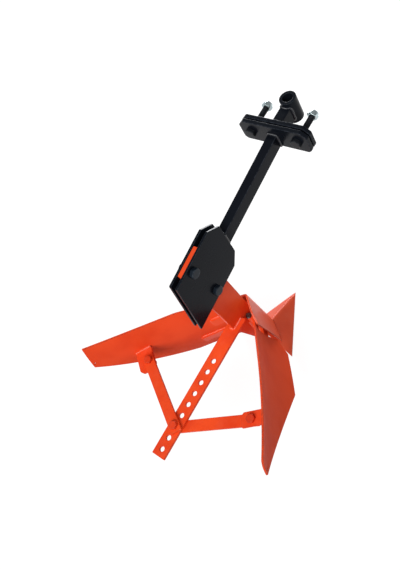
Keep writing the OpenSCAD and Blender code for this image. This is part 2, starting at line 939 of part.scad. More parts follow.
module right_lug_nut() {
    color(orange_paint)
        on_right()
            link_frame()
                translate([0, 0, right_link_z - slide_gap - washer_t])
                    mirror([0, 0, 1]) hex_nut(pivot_bolt_d, nut_height(pivot_bolt_d));
}

// Upper half of the adjusting bolt, which moves with the left link and ends above the bar
module adjusting_bolt() {
    color(orange_paint)
        link_frame()
            translate([link_length, 0, left_link_z + link_thickness]) hex_bolt(pivot_bolt_d, link_thickness);
}

// Lower end of the adjusting bolt with its nut, which moves with the right link
module adjusting_nut() {
    stem = link_thickness + nut_height(pivot_bolt_d) + bolt_tail;
    color(orange_paint)
        on_right()
            link_frame()
                translate([link_length, 0, right_link_z]) {
                    mirror([0, 0, 1]) hex_block(pivot_bolt_d, nut_height(pivot_bolt_d));
                    translate([0, 0, link_thickness - stem]) cylinder(d = pivot_bolt_d, h = stem);
                }
}

hitch_tube();
hitch_stub();
front_hitch_plate();
rear_hitch_plate();
hitch_bolts();
hitch_nuts();
drawbar();
left_cheek();
right_cheek();
cheek_bolts();
cheek_washers();
cheek_nuts();
standard();
frog();
breast_plate();
share();
adjusting_bar();
hinge_blocks();
hinge_pins();
hinge_washers();
split_pins();
left_wing();
left_hinge_leaves();
left_lug();
left_lug_bolt();
left_lug_washer();
left_lug_nut();
right_wing();
right_hinge_leaves();
right_lug();
right_lug_bolt();
right_lug_washer();
right_lug_nut();
left_link();
right_link();
adjusting_bolt();
adjusting_nut();
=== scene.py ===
"""Looks of an adjustable walk-behind ridger: painted plates, hollow wings, weld beads, bolts and studio.

Lengths in this file are millimetres in the CAD frame, whose origin is the middle of the hitch bore,
with +X the way of travel, +Y left and +Z up. Meshes are scaled to metres when they are made.
"""
import logging
import math
from dataclasses import dataclass, field
from enum import Enum
from functools import cache
from typing import Callable, Sequence

import bmesh
import bpy
import numpy as np
from mathutils import Matrix, Vector
from mathutils.geometry import delaunay_2d_cdt


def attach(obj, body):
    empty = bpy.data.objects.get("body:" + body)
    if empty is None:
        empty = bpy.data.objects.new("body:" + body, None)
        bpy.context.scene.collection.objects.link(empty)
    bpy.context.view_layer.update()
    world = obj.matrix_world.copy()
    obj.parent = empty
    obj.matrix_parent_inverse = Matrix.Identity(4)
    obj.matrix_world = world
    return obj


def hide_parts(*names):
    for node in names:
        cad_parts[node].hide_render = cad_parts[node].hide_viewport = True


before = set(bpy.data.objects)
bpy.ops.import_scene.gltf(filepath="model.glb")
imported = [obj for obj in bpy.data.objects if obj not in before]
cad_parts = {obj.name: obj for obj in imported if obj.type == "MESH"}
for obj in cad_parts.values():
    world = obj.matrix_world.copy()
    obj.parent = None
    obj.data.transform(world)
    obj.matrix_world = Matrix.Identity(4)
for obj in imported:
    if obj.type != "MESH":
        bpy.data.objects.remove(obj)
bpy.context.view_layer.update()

LOG = logging.getLogger("ridger")
MM = 0.001
FORWARD, LEFT, UP = np.eye(3)
SIGNS = (-1, 1)
Array = np.ndarray
Point = tuple[float, float]
Place = tuple[float, float, float]
Colour = tuple[float, float, float]
PlateMap = Callable[[Array, Array, Array], Array]


class Body(Enum):
    """The rigid bodies that pieces ride on."""

    FRAME = "frame"
    JAW = "hitch_jaw"
    LEFT_WING = "left_wing_body"
    RIGHT_WING = "right_wing_body"
    LEFT_LINK = "left_link_body"
    RIGHT_LINK = "right_link_body"


class Side(Enum):
    """Which side of the middle plane a piece is on, as the sign of its y."""

    LEFT = 1.0
    RIGHT = -1.0

    @property
    def label(self) -> str:
        """Left or right, as node names have it."""
        return self.name.lower()


# Shared places


@dataclass(frozen=True)
class Layout:
    """Sizes and places that several sub-assemblies share, in the body frame unless a name says otherwise.

    The body frame has x from the middle of the standard and z from the top face of the adjusting bar.
    Angles are in radians, and a place given by two numbers is x and z.
    """

    drawbar_length: float = 360.0
    drawbar_rise: float = math.radians(6.0)
    drawbar_height: float = 29.0
    hitch_front: float = 50.0
    hitch_plate: float = 8.0
    hitch_gap: float = 3.0
    cheek_thickness: float = 5.0
    cheek_bolt_back: float = 367.0
    cheek_bolt_half: float = 45.0
    body_height: float = 220.0
    standard_thickness: float = 10.0
    standard_width: float = 60.0
    bar_thickness: float = 6.0
    hinge_ahead: float = 11.0
    hinge_side: float = 12.0
    lug_along: float = 218.5
    lug_inset: float = 15.7
    link_length: float = 160.0
    pin_x: float = -257.0
    share_tip: float = 139.0
    share_depth: float = 165.0
    share_pitch: float = math.radians(22.4)
    share_half_width: float = 71.0
    share_corner_back: float = 1.0
    ridge_ahead: float = 51.0
    breast_half_angle: float = math.radians(48.0)
    breast_rake: float = math.radians(3.0)
    breast_waist: Point = (-2.0, 6.0)
    breast_heel: Point = (15.0, -118.0)

    @property
    def hitch_back(self) -> float:
        """Distance from the bore back to the rear hitch plate's rear face."""
        return self.hitch_front + 2 * self.hitch_plate + self.hitch_gap

    @property
    def half_drawbar(self) -> float:
        """Half the drawbar's width, which is also a cheek's outer face."""
        return self.standard_thickness / 2 + self.cheek_thickness

    @property
    def share_fall(self) -> float:
        """How far the share's upper face falls for each millimetre to the side."""
        return math.tan(self.share_pitch) * (self.share_tip + self.share_corner_back) / self.share_half_width

    @property
    def wing_angle(self) -> float:
        """Angle between the wings and the middle plane, from the triangle of hinge, lug and pin.

        Returns:
            The angle in radians.
        """
        lug = math.hypot(self.lug_along, self.lug_inset)
        behind = self.hinge_ahead - self.pin_x
        pin = math.hypot(behind, self.hinge_side)
        reach = math.acos((lug ** 2 + pin ** 2 - self.link_length ** 2) / (2 * lug * pin))
        return reach - math.atan2(self.hinge_side, behind) + math.atan2(self.lug_inset, self.lug_along)

    @property
    def origin(self) -> Array:
        """The body frame's origin in the CAD frame."""
        return np.array([-self.drawbar_length, 0.0, -self.body_height])

    def body(self, points: Array) -> Array:
        """Move points from the body frame to the CAD frame."""
        return points + self.origin

    def drawbar(self, points: Array) -> Array:
        """Turn points from the drawbar's frame, which rises forward through the bore, to the CAD frame.

        Args:
            points: Array whose last axis is along the drawbar, across it, and square to it.

        Returns:
            The points in the CAD frame.
        """
        c, s = math.cos(self.drawbar_rise), math.sin(self.drawbar_rise)
        return points @ np.array([[c, 0, -s], [0, 1, 0], [s, 0, c]]).T

    def wing(self, along: Array, out: Array, up: Array, side: Side) -> Array:
        """Place points given in a wing's frame: along the wing from the hinge, outboard of it, and up.

        Args:
            along: Distances back along the wing.
            out: Distances outboard of the hinge axis.
            up: Heights above the bar's top face.
            side: Left or right wing.

        Returns:
            Points in the CAD frame.
        """
        c, s = math.cos(self.wing_angle), math.sin(self.wing_angle)
        x = self.hinge_ahead - along * c + out * s
        y = self.hinge_side + along * s + out * c
        return self.body(np.stack([x, y * side.value, up], axis=-1))

    def lug_pivot(self, side: Side) -> Array:
        """The lug's pivot at the height of the bar's top face, in the CAD frame."""
        return self.wing(np.array(self.lug_along), np.array(-self.lug_inset), np.array(0.0), side)

    def pin(self) -> Array:
        """The adjusting bolt's place at the height of the bar's top face, in the CAD frame."""
        return self.body(np.array([self.pin_x, 0.0, 0.0]))

    def roof(self, x: Array | float, y: Array | float, fold: float = 0.0) -> Array | float:
        """Height of the share's upper face: two planes that meet on a ridge with a small fold.

        Args:
            x: Distances ahead of the middle of the standard.
            y: Distances to the left.
            fold: Radius of the fold on the ridge.

        Returns:
            Heights in the body frame.
        """
        ridge = math.tan(self.share_pitch) * (self.share_tip - x) - self.share_depth
        return ridge - self.share_fall * (np.sqrt(y * y + fold * fold) - fold)

    def ridge_x(self, z: Array | float) -> Array | float:
        """Place of the breast plate's ridge ahead of the standard at height z."""
        foot = self.roof(self.ridge_ahead, 0.0)
        return self.ridge_ahead - (z - foot) * math.tan(self.breast_rake)

    def breast_half(self, x: float, z: float) -> float:
        """Half the breast plate's width where it is x ahead of the standard, at height z."""
        return float(self.ridge_x(z) - x) * math.tan(self.breast_half_angle)


LAYOUT = Layout()

# Outlines


def rectangle(half_width: float, half_height: float) -> Array:
    """Corners of a rectangle about the middle, anticlockwise."""
    return np.array([[-half_width, -half_height], [half_width, -half_height],
                     [half_width, half_height], [-half_width, half_height]])


def circle(x: float, y: float, radius: float, steps: int = 40) -> Array:
    """Points of a circle, anticlockwise."""
    a = np.linspace(0, 2 * math.pi, steps, endpoint=False)
    return np.stack([x + radius * np.cos(a), y + radius * np.sin(a)], -1)


def soften(loop: Array, radius: float, steps: int = 5) -> Array:
    """Round the corners of a closed loop with short bows between points at a set distance from each corner.

    Args:
        loop: Corner points as an n by 2 array.
        radius: Distance from each corner to the ends of its bow.
        steps: Points on each bow.

    Returns:
        The rounded loop.
    """
    before, after = np.roll(loop, 1, 0) - loop, np.roll(loop, -1, 0) - loop
    reach_b, reach_a = (np.linalg.norm(v, axis=1, keepdims=True) for v in (before, after))
    first = loop + before / reach_b * np.minimum(radius, 0.45 * reach_b)
    last = loop + after / reach_a * np.minimum(radius, 0.45 * reach_a)
    t = np.linspace(0, 1, steps)[None, :, None]
    bow = (1 - t) ** 2 * first[:, None] + 2 * t * (1 - t) * loop[:, None] + t ** 2 * last[:, None]
    return bow.reshape(-1, 2)


def resample(loop: Array, spacing: float) -> Array:
    """Points along a closed loop no further apart than the spacing, with its corners kept.

    Args:
        loop: Corner points as an n by 2 array.
        spacing: Largest distance between points.

    Returns:
        The denser loop.
    """
    steps = np.roll(loop, -1, 0) - loop
    counts = np.maximum(1, np.ceil(np.linalg.norm(steps, axis=1) / spacing).astype(int))
    shares = (np.linspace(0, 1, count, endpoint=False)[:, None] for count in counts)
    return np.concatenate([start + step * share for start, step, share in zip(loop, steps, shares)])


def inside(points: Array, loop: Array) -> Array:
    """Which points lie in a closed loop, by counting crossings of a level ray.

    Args:
        points: Points as an n by 2 array.
        loop: The loop as an m by 2 array.

    Returns:
        A boolean for each point.
    """
    a, b = loop[None], np.roll(loop, -1, 0)[None]
    p = points[:, None]
    rise = np.where(b[..., 1] == a[..., 1], 1e-12, b[..., 1] - a[..., 1])
    spans = (a[..., 1] > p[..., 1]) != (b[..., 1] > p[..., 1])
    at = (b[..., 0] - a[..., 0]) * (p[..., 1] - a[..., 1]) / rise + a[..., 0]
    return (np.sum(spans & (p[..., 0] < at), axis=1) % 2) == 1


def clear_of(points: Array, loops: Sequence[Array], room: float) -> Array:
    """Which points are further than the room from every point of the loops."""
    near = np.concatenate(loops)
    return np.linalg.norm(points[:, None] - near[None], axis=-1).min(1) > room


# Meshes


RIPPLE_PITCH = 2.2
BEAD_SIDES = 14
# A direction that no bead follows, from which the frame of its section is worked out
BEAD_GUIDE = np.array([0.31, 0.83, 0.47])
# Points nearer than this, in metres, become one
MERGE = 1e-4 * MM


def grid_faces(rows: int, columns: int, looped: bool = False) -> Array:
    """Quads between the rows of a grid of points, where each row is a ring.

    Args:
        rows: Number of rows.
        columns: Number of points in a row.
        looped: Whether the last row joins the first.

    Returns:
        Faces as an n by 4 array.
    """
    i, j = np.meshgrid(np.arange(rows if looped else rows - 1), np.arange(columns), indexing="ij")
    here, below = i * columns, (i + 1) % rows * columns
    k = (j + 1) % columns
    return np.stack([here + j, here + k, below + k, below + j], -1).reshape(-1, 4)


@dataclass
class Profile:
    """A form turned about an axis: row heights, radii by row and angle, edge tone weight (part wear, part
    painted light), and whether it is capped.
    """

    height: Array
    radius: Array
    edge: Array
    capped: bool = True


@dataclass
class Shell:
    """A surface in progress: points in millimetres, faces, and how near each point is to a rounded edge."""

    points: list[Array] = field(default_factory=list)
    faces: list[list[int]] = field(default_factory=list)
    edge: list[Array] = field(default_factory=list)

    def add(self, points: Array, faces: Array, edge: Array | float = 0.0) -> None:
        """Add points and the faces between them.

        Args:
            points: Points as an n by 3 array.
            faces: Faces as an m by 3 or m by 4 array of indices into these points.
            edge: Edge value of each point, or one for all.
        """
        start = sum(len(p) for p in self.points)
        self.points.append(np.asarray(points, float))
        self.faces.extend((np.asarray(faces, int) + start).tolist())
        self.edge.append(np.broadcast_to(np.asarray(edge, float), (len(points),)).copy())

    def cap(self, ring: Array) -> None:
        """Close a ring of points with triangles to its middle.

        Args:
            ring: Points as an n by 3 array.
        """
        j = np.arange(len(ring))
        faces = np.stack([j, (j + 1) % len(ring), np.full(len(ring), len(ring))], -1)
        self.add(np.concatenate([ring, ring.mean(0, keepdims=True)]), faces)

    def turn(self, seat: Array, axis: Array, profile: Profile) -> None:
        """Add a turned form: each point is the seat + height times the axis + radius times a spun direction.

        Args:
            seat: Point where height is zero.
            axis: Unit direction of height.
            profile: The form.
        """
        rows, columns = profile.radius.shape
        angle = np.linspace(0, 2 * math.pi, columns, endpoint=False)
        first = np.cross(UP if abs(axis[2]) < 0.9 else FORWARD, axis)
        spin = np.cos(angle)[:, None] * first + np.sin(angle)[:, None] * np.cross(axis, first)
        points = seat + profile.height[:, None, None] * axis + profile.radius[..., None] * spin
        edge = np.broadcast_to(profile.edge, profile.radius.shape)
        self.add(points.reshape(-1, 3), grid_faces(rows, columns), edge.ravel())
        if profile.capped:
            self.cap(points[0])
            self.cap(points[-1])

    def bead(self, path: Array, radius: float, closed: bool = False) -> None:
        """Add a weld bead: a round section carried along a path, with the crescent ripples of a hand weld.

        The radius at arc length s and angle a is r (1 + 0.10 cos(2 pi s / pitch + 1.4 cos a) + slow waver),
        and it closes to nothing at both ends of an open path.

        Args:
            path: Points of the path, as an n by 3 array.
            radius: Radius of the bead.
            closed: Whether the path is a loop.
        """
        path = np.concatenate([path, path[:1]]) if closed else path
        reached = np.concatenate([[0], np.cumsum(np.linalg.norm(np.diff(path, axis=0), axis=1))])
        total = reached[-1]
        rows = max(12, int(total / RIPPLE_PITCH * 6))
        s = np.linspace(0, total, rows, endpoint=not closed)
        line = np.stack([np.interp(s, reached, path[:, k]) for k in range(3)], -1)
        tangent = np.gradient(line, axis=0)
        tangent /= np.linalg.norm(tangent, axis=1, keepdims=True)
        across = np.cross(tangent, BEAD_GUIDE)
        across /= np.linalg.norm(across, axis=1, keepdims=True)
        up = np.cross(across, tangent)
        angle = np.linspace(0, 2 * math.pi, BEAD_SIDES, endpoint=False)
        ripple = 0.10 * np.cos(2 * math.pi * s[:, None] / RIPPLE_PITCH + 1.4 * np.cos(angle)[None])
        waver = 0.07 * np.sin(s / 5.3 + path[0].sum()) + 0.05 * np.sin(s / 2.9)
        grown = radius * (1 + ripple + waver[:, None])
        if not closed:
            ends = np.clip(np.minimum(s, total - s) / (1.2 * radius), 0, 1)
            grown = grown * np.sqrt(np.clip(1 - (1 - ends) ** 2, 1e-4, 1))[:, None]
        ring = np.cos(angle)[None, :, None] * across[:, None] + np.sin(angle)[None, :, None] * up[:, None]
        points = line[:, None] + grown[..., None] * ring
        self.add(points.reshape(-1, 3), grid_faces(rows, BEAD_SIDES, looped=closed))

    def object(self, name: str, material: bpy.types.Material) -> bpy.types.Object:
        """Make the Blender object, with coinciding points merged and faces turned outwards.

        Args:
            name: Object name.
            material: Finish of the piece.

        Returns:
            The new object, at the origin.
        """
        mesh = bpy.data.meshes.new(name)
        mesh.from_pydata((np.concatenate(self.points) * MM).tolist(), [], self.faces)
        layer = mesh.attributes.new("edge", "FLOAT", "POINT")
        layer.data.foreach_set("value", np.concatenate(self.edge).astype(np.float32))
        work = bmesh.new()
        work.from_mesh(mesh)
        bmesh.ops.remove_doubles(work, verts=work.verts, dist=MERGE)
        bmesh.ops.recalc_face_normals(work, faces=work.faces)
        work.to_mesh(mesh)
        work.free()
        mesh.polygons.foreach_set("use_smooth", np.ones(len(mesh.polygons), bool))
        mesh.materials.append(material)
        made = bpy.data.objects.new(name, mesh)
        bpy.context.scene.collection.objects.link(made)
        return made


@dataclass
class RoundedPlate:
    """A plate with rounded edges: an outline with holes, given a thickness and laid on a surface.

    Every loop is carried through a profile of two quarter rounds, and the two faces inside the profile
    are filled. A map turns plate coordinates u, v and depth into points, so a plate may be bent.
    A spacing breaks long edges and fills the faces with a grid, for plates that bend.
    """

    outline: Array
    thickness: float
    lay: PlateMap
    holes: Sequence[Array] = ()
    radius: float = 0.9
    spacing: float = 0.0
    # How much of the edge tone lies on the cut walls: part worn paint, part painted shade
    cut_edge_wear_and_shading: float = 0.0
    steps: int = 4

    def loops(self) -> list[Array]:
        """The outline and the holes, each with the plate on its left.

        Returns:
            Loops as n by 2 arrays, with long edges of the outline broken by the spacing.
        """
        outline, ahead = self.outline, np.roll(self.outline, -1, 0)
        area = np.sum(outline[:, 0] * ahead[:, 1] - outline[:, 1] * ahead[:, 0])
        outline = outline if area > 0 else outline[::-1]
        return [resample(outline, self.spacing or math.inf)] + [hole[::-1] for hole in self.holes]

    def shell(self, onto: Shell | None = None) -> Shell:
        """Build the plate.

        Args:
            onto: A shell to add it to, or None for a new one.

        Returns:
            The shell that holds it.
        """
        shell = onto or Shell()
        angle = np.linspace(0, math.pi / 2, self.steps + 1)
        inset = self.radius * (1 - np.sin(angle))
        depth = self.radius * (1 - np.cos(angle))
        # Weight of the edge tone, part wear and part painted light: highest in the middle of each round, and
        # spread over the cut walls by the cut edge setting
        edge_wear_and_shading_weight = np.maximum(np.sin(2 * angle), self.cut_edge_wear_and_shading * np.sin(angle))
        inset, edge_wear_and_shading_weight = (np.concatenate([half, half[::-1]]) for half in (inset, edge_wear_and_shading_weight))
        depth = np.concatenate([depth, self.thickness - depth[::-1]])
        rims = []
        for loop in self.loops():
            ahead = np.roll(loop, -1, 0) - loop
            ahead /= np.linalg.norm(ahead, axis=1, keepdims=True)
            left = np.stack([-ahead[:, 1], ahead[:, 0]], -1)
            before = np.roll(left, 1, 0)
            mitre = (left + before) / (1 + np.sum(left * before, 1, keepdims=True))
            flat = loop[None] + inset[:, None, None] * mitre[None]
            deep = np.broadcast_to(depth[:, None], flat.shape[:2])
            points = self.lay(flat[..., 0], flat[..., 1], deep).reshape(-1, 3)
            shell.add(points, grid_faces(len(inset), len(loop)), np.repeat(edge_wear_and_shading_weight, len(loop)))
            rims.append(flat[0])
        self.fill(shell, rims)
        return shell

    def fill(self, shell: Shell, rims: list[Array]) -> None:
        """Fill both faces of the plate inside the rims.

        Args:
            shell: The shell that takes the points and faces.
            rims: The loops where the rounded profile meets the face.
        """
        inner = np.zeros((0, 2))
        if self.spacing:
            spans = [np.arange(*span, self.spacing) for span in zip(rims[0].min(0), rims[0].max(0))]
            grid = np.stack(np.meshgrid(*spans), -1).reshape(-1, 2)
            inner = grid[inside(grid, rims[0]) & clear_of(grid, rims, 0.45 * self.spacing)]
        points = np.concatenate(rims + [inner])
        edges, start = [], 0
        for rim in rims:
            index = np.arange(start, start + len(rim))
            edges += np.stack([index, np.roll(index, -1)], -1).tolist()
            start += len(rim)
        flat, _, faces, *_ = delaunay_2d_cdt([Vector(p) for p in points.tolist()], edges, [], 1, 1e-7)
        flat, faces = np.array([tuple(p) for p in flat]), np.array(faces)
        for rim in rims[1:]:
            faces = faces[~inside(flat[faces].mean(1), rim)]
        for deep in (0.0, self.thickness):
            shell.add(self.lay(flat[:, 0], flat[:, 1], np.full(len(flat), deep)), faces)


def flat_lay(origin: Sequence[float], u: Sequence[float], v: Sequence[float], down: Sequence[float],
             place: Callable[[Array], Array] = lambda p: p) -> PlateMap:
    """A map for a flat plate: origin + u times one direction + v times another + depth times a third.

    Args:
        origin: Where u, v and depth are zero.
        u: Direction of u.
        v: Direction of v.
        down: Direction of depth, from the first face to the second.
        place: Map from the frame of these to the CAD frame.

    Returns:
        The map.
    """
    o, a, b, c = (np.array(x, float) for x in (origin, u, v, down))
    return lambda s, t, d: place(o + s[..., None] * a + t[..., None] * b + d[..., None] * c)


# Finishes


@dataclass
class Wiring:
    """Short words for adding and joining nodes in one tree."""

    tree: bpy.types.NodeTree

    def add(self, kind: str) -> bpy.types.Node:
        """Add a node of the given type."""
        return self.tree.nodes.new(kind)

    def join(self, source: bpy.types.NodeSocket, target: bpy.types.NodeSocket) -> None:
        """Link two sockets."""
        self.tree.links.new(source, target)

    def feed(self, target: bpy.types.NodeSocket, value: object) -> None:
        """Link a socket to the target, or set the target to a plain value.

        Args:
            target: The input to feed.
            value: A socket or a plain value.
        """
        if isinstance(value, bpy.types.NodeSocket):
            self.join(value, target)
        else:
            target.default_value = value

    def node(self, kind: str, inputs: dict[str | int, object], output: str | int) -> bpy.types.NodeSocket:
        """Add a node, feed its inputs and give one of its outputs.

        Args:
            kind: Type of the node.
            inputs: Sockets or plain values by the input's name or number.
            output: Name or number of the output.

        Returns:
            The output.
        """
        made = self.add(kind)
        for key, value in inputs.items():
            self.feed(made.inputs[key], value)
        return made.outputs[output]

    def noise(self, scale: float, detail: float, rough: float) -> bpy.types.NodeSocket:
        """Noise on Object coordinates.

        Args:
            scale: Waves to the metre.
            detail: Octaves of finer noise.
            rough: Strength of the finer octaves.

        Returns:
            The noise, about 0 to 1.
        """
        place = self.add("ShaderNodeTexCoord").outputs["Object"]
        inputs = {"Vector": place, "Scale": scale, "Detail": detail, "Roughness": rough}
        return self.node("ShaderNodeTexNoise", inputs, "Fac")

    def ramp(self, value: bpy.types.NodeSocket, low: float, high: float) -> bpy.types.NodeSocket:
        """Stretch a span over 0 to 1, with soft ends.

        Args:
            value: The value to stretch.
            low: What becomes 0.
            high: What becomes 1.

        Returns:
            The stretched value.
        """
        inputs = {"Value": value, "From Min": low, "From Max": high}
        result = self.node("ShaderNodeMapRange", inputs, "Result")
        result.node.interpolation_type = "SMOOTHSTEP"
        return result

    def maths(self, what: str, *values: object) -> bpy.types.NodeSocket:
        """A Math node.

        Args:
            what: Its operation.
            values: Sockets or plain numbers, in the order of its inputs.

        Returns:
            The result.
        """
        result = self.node("ShaderNodeMath", dict(enumerate(values)), 0)
        result.node.operation = what
        return result

    def mix(self, share: bpy.types.NodeSocket, first: object, second: object) -> bpy.types.NodeSocket:
        """Mix two colours.

        Args:
            share: How much of the second colour there is, 0 to 1.
            first: The first colour.
            second: The second colour.

        Returns:
            The mixed colour.
        """
        made = self.add("ShaderNodeMix")
        made.data_type = "RGBA"
        for key, value in ((0, share), (6, first), (7, second)):
            self.feed(made.inputs[key], value)
        return made.outputs[2]


def start_group(name: str, colours: Sequence[str], values: Sequence[str]) -> tuple[Wiring, dict, dict]:
    """Begin a node group that gives colour, roughness and height.

    Args:
        name: Name of the group.
        colours: Names of its colour inputs.
        values: Names of its number inputs.

    Returns:
        Its wiring, its inputs by name and its outputs by name.
    """
    tree = bpy.data.node_groups.new(name, "ShaderNodeTree")
    for kind, labels in (("NodeSocketColor", colours), ("NodeSocketFloat", values)):
        for label in labels:
            tree.interface.new_socket(label, in_out="INPUT", socket_type=kind)
    for label in ("Colour", "Roughness", "Height"):
        kind = "NodeSocketColor" if label == "Colour" else "NodeSocketFloat"
        tree.interface.new_socket(label, in_out="OUTPUT", socket_type=kind)
    into, out = tree.nodes.new("NodeGroupInput"), tree.nodes.new("NodeGroupOutput")
    return Wiring(tree), dict(into.outputs.items()), dict(out.inputs.items())


@cache
def paint_film() -> bpy.types.NodeTree:
    """Sprayed paint: mottled colour, uneven gloss, orange-peel height, an edge tone and dust on level faces.
    The edge tone is speckled like wear, and is also painted light: a painted highlight where it is lighter
    than the paint, painted shade where it is darker.

    Returns:
        A group that gives colour, roughness and height.
    """
    colours, values = ("Colour", "Deep", "Edge_wear_and_shading", "Dust"), ("Gloss", "Edge_wear_and_shading_level", "Film")
    wire, into, out = start_group("PaintFilm", colours, values)
    broad = wire.noise(scale=14.0, detail=4.0, rough=0.55)
    cloud = wire.noise(scale=55.0, detail=3.0, rough=0.6)
    peel = wire.noise(scale=900.0, detail=2.0, rough=0.5)
    speck = wire.noise(scale=260.0, detail=5.0, rough=0.7)
    near = wire.add("ShaderNodeAttribute")
    near.attribute_name = "edge"
    colour = wire.mix(wire.ramp(broad, 0.35, 0.72), into["Colour"], into["Deep"])
    # Edge tone on rounded edges: speckled wear, and also a painted highlight on light finishes and painted
    # shade on dark-edged ones
    edge_wear_and_shading_mask = wire.maths("MULTIPLY", near.outputs["Fac"], wire.ramp(speck, 0.38, 0.62))
    edge_wear_and_shading_mask = wire.maths("MULTIPLY", edge_wear_and_shading_mask, into["Edge_wear_and_shading_level"])
    colour = wire.mix(edge_wear_and_shading_mask, colour, into["Edge_wear_and_shading"])
    normal = wire.add("ShaderNodeNewGeometry").outputs["Normal"]
    level = wire.ramp(wire.node("ShaderNodeSeparateXYZ", {0: normal}, "Z"), 0.2, 1.0)
    dust = wire.maths("MULTIPLY", wire.maths("MULTIPLY", level, wire.ramp(cloud, 0.42, 0.75)), into["Film"])
    wire.join(wire.mix(dust, colour, into["Dust"]), out["Colour"])
    rough = wire.maths("MULTIPLY_ADD", cloud, 0.16, into["Gloss"])
    rough = wire.maths("MULTIPLY_ADD", dust, 0.5, rough)
    wire.join(wire.maths("MULTIPLY_ADD", edge_wear_and_shading_mask, 0.2, rough), out["Roughness"])
    wire.join(wire.maths("MULTIPLY_ADD", broad, 0.6, peel), out["Height"])
    return wire.tree


@cache
def plating() -> bpy.types.NodeTree:
    """Zinc plating or bare steel: cloudy tint, uneven shine and fine turning marks.

    Returns:
        A group that gives colour, roughness and height.
    """
    wire, into, out = start_group("Plating", ("Bright", "Dull"), ("Gloss",))
    cloud = wire.noise(scale=120.0, detail=4.0, rough=0.6)
    wire.join(wire.mix(wire.ramp(cloud, 0.35, 0.7), into["Bright"], into["Dull"]), out["Colour"])
    wire.join(wire.maths("MULTIPLY_ADD", cloud, 0.25, into["Gloss"]), out["Roughness"])
    wire.join(wire.noise(scale=1500.0, detail=2.0, rough=0.6), out["Height"])
    return wire.tree


@dataclass(frozen=True)
class Recipe:
    """A node group, the height of its bump in metres, and shader values that are the same all over."""

    group: bpy.types.NodeTree
    bump_height: float
    values: dict[str, float]


@dataclass(frozen=True)
class Finish:
    """What paint and metal share: a name, the record's slot, a gloss and a bump's strength."""

    name: str
    slot: str
    gloss: float
    bump: float

    def recipe(self) -> Recipe:
        """What the material is made from, which each kind of finish gives."""
        raise NotImplementedError

    @cache
    def material(self) -> bpy.types.Material:
        """Build the material once: the group's colour, roughness and height on the shader.

        Returns:
            The material.
        """
        recipe = self.recipe()
        made = bpy.data.materials.new(self.name)
        made.use_nodes = True
        wire = Wiring(made.node_tree)
        shader = made.node_tree.nodes["Principled BSDF"]
        film = wire.add("ShaderNodeGroup")
        film.node_tree = recipe.group
        for socket in film.inputs:
            value = getattr(self, socket.name.lower())
            socket.default_value = (*value, 1.0) if isinstance(value, tuple) else value
        height = {"Strength": self.bump, "Distance": recipe.bump_height, "Height": film.outputs["Height"]}
        wire.join(film.outputs["Colour"], shader.inputs["Base Color"])
        wire.join(film.outputs["Roughness"], shader.inputs["Roughness"])
        wire.join(wire.node("ShaderNodeBump", height, "Normal"), shader.inputs["Normal"])
        for label, value in recipe.values.items():
            shader.inputs[label].default_value = value
        return made


@dataclass(frozen=True)
class PaintFinish(Finish):
    """A sprayed paint on steel."""

    colour: Colour
    deep: Colour
    # Colour of the edge tone: worn paint in part; a painted highlight when lighter than the paint, painted
    # shade when darker
    edge_wear_and_shading: Colour
    dust: Colour
    # How strongly the edge tone shows, with its painted highlight or painted shade
    edge_wear_and_shading_level: float
    film: float
    shine: float
    coat: float = 0.0
    coat_rough: float = 0.18
    peel: float = 0.0004

    def recipe(self) -> Recipe:
        """The paint film with its orange peel, its shine and its clear coat."""
        coat = {"Coat Weight": self.coat, "Coat Roughness": self.coat_rough}
        return Recipe(paint_film(), self.peel, {"Specular IOR Level": self.shine, **coat})


@dataclass(frozen=True)
class MetalFinish(Finish):
    """Bare or plated metal."""

    bright: Colour
    dull: Colour
    marks: float = 0.0003

    def recipe(self) -> Recipe:
        """The plating with its turning marks, on solid metal."""
        return Recipe(plating(), self.marks, {"Metallic": 1.0})


# Orange enamel: its edge tone is darker than the paint, painted shade on rounded edges in part, worn paint
# in part
ORANGE = PaintFinish(
    "orange_enamel", "orange_paint", gloss=0.30, bump=0.10, edge_wear_and_shading_level=0.75, film=0.04, shine=0.10, coat=0.02,
    colour=(0.80, 0.072, 0.014), deep=(0.70, 0.048, 0.010),
    edge_wear_and_shading=(0.24, 0.032, 0.016), dust=(0.82, 0.30, 0.20))
# Wing enamel: darker edge tone, painted shade on rounded edges and cut walls in part, worn paint in part
WING = PaintFinish(
    "wing_enamel", "wing_paint", gloss=0.50, bump=0.10, edge_wear_and_shading_level=0.80, film=0.06, shine=0.05,
    colour=(0.77, 0.067, 0.016), deep=(0.70, 0.052, 0.012),
    edge_wear_and_shading=(0.22, 0.036, 0.020), dust=(0.80, 0.30, 0.20))
# Share enamel: lighter, creamy edge tone, a painted highlight on rounded edges in part, worn paint in part
SHARE = PaintFinish(
    "share_enamel", "share_paint", gloss=0.30, bump=0.12, edge_wear_and_shading_level=0.8, film=0.08, shine=0.20,
    colour=(0.72, 0.084, 0.030), deep=(0.63, 0.062, 0.022),
    edge_wear_and_shading=(0.82, 0.36, 0.26), dust=(0.70, 0.26, 0.18))
# Bolt enamel: darker edge tone, painted shade on edges and thread crests in part, worn paint in part
BOLT_ORANGE = PaintFinish(
    "bolt_enamel", "painted_bolts", gloss=0.30, bump=0.14, edge_wear_and_shading_level=0.7, film=0.04, shine=0.14, coat=0.02,
    colour=(0.70, 0.050, 0.011), deep=(0.54, 0.033, 0.008),
    edge_wear_and_shading=(0.30, 0.045, 0.022), dust=(0.70, 0.30, 0.20))
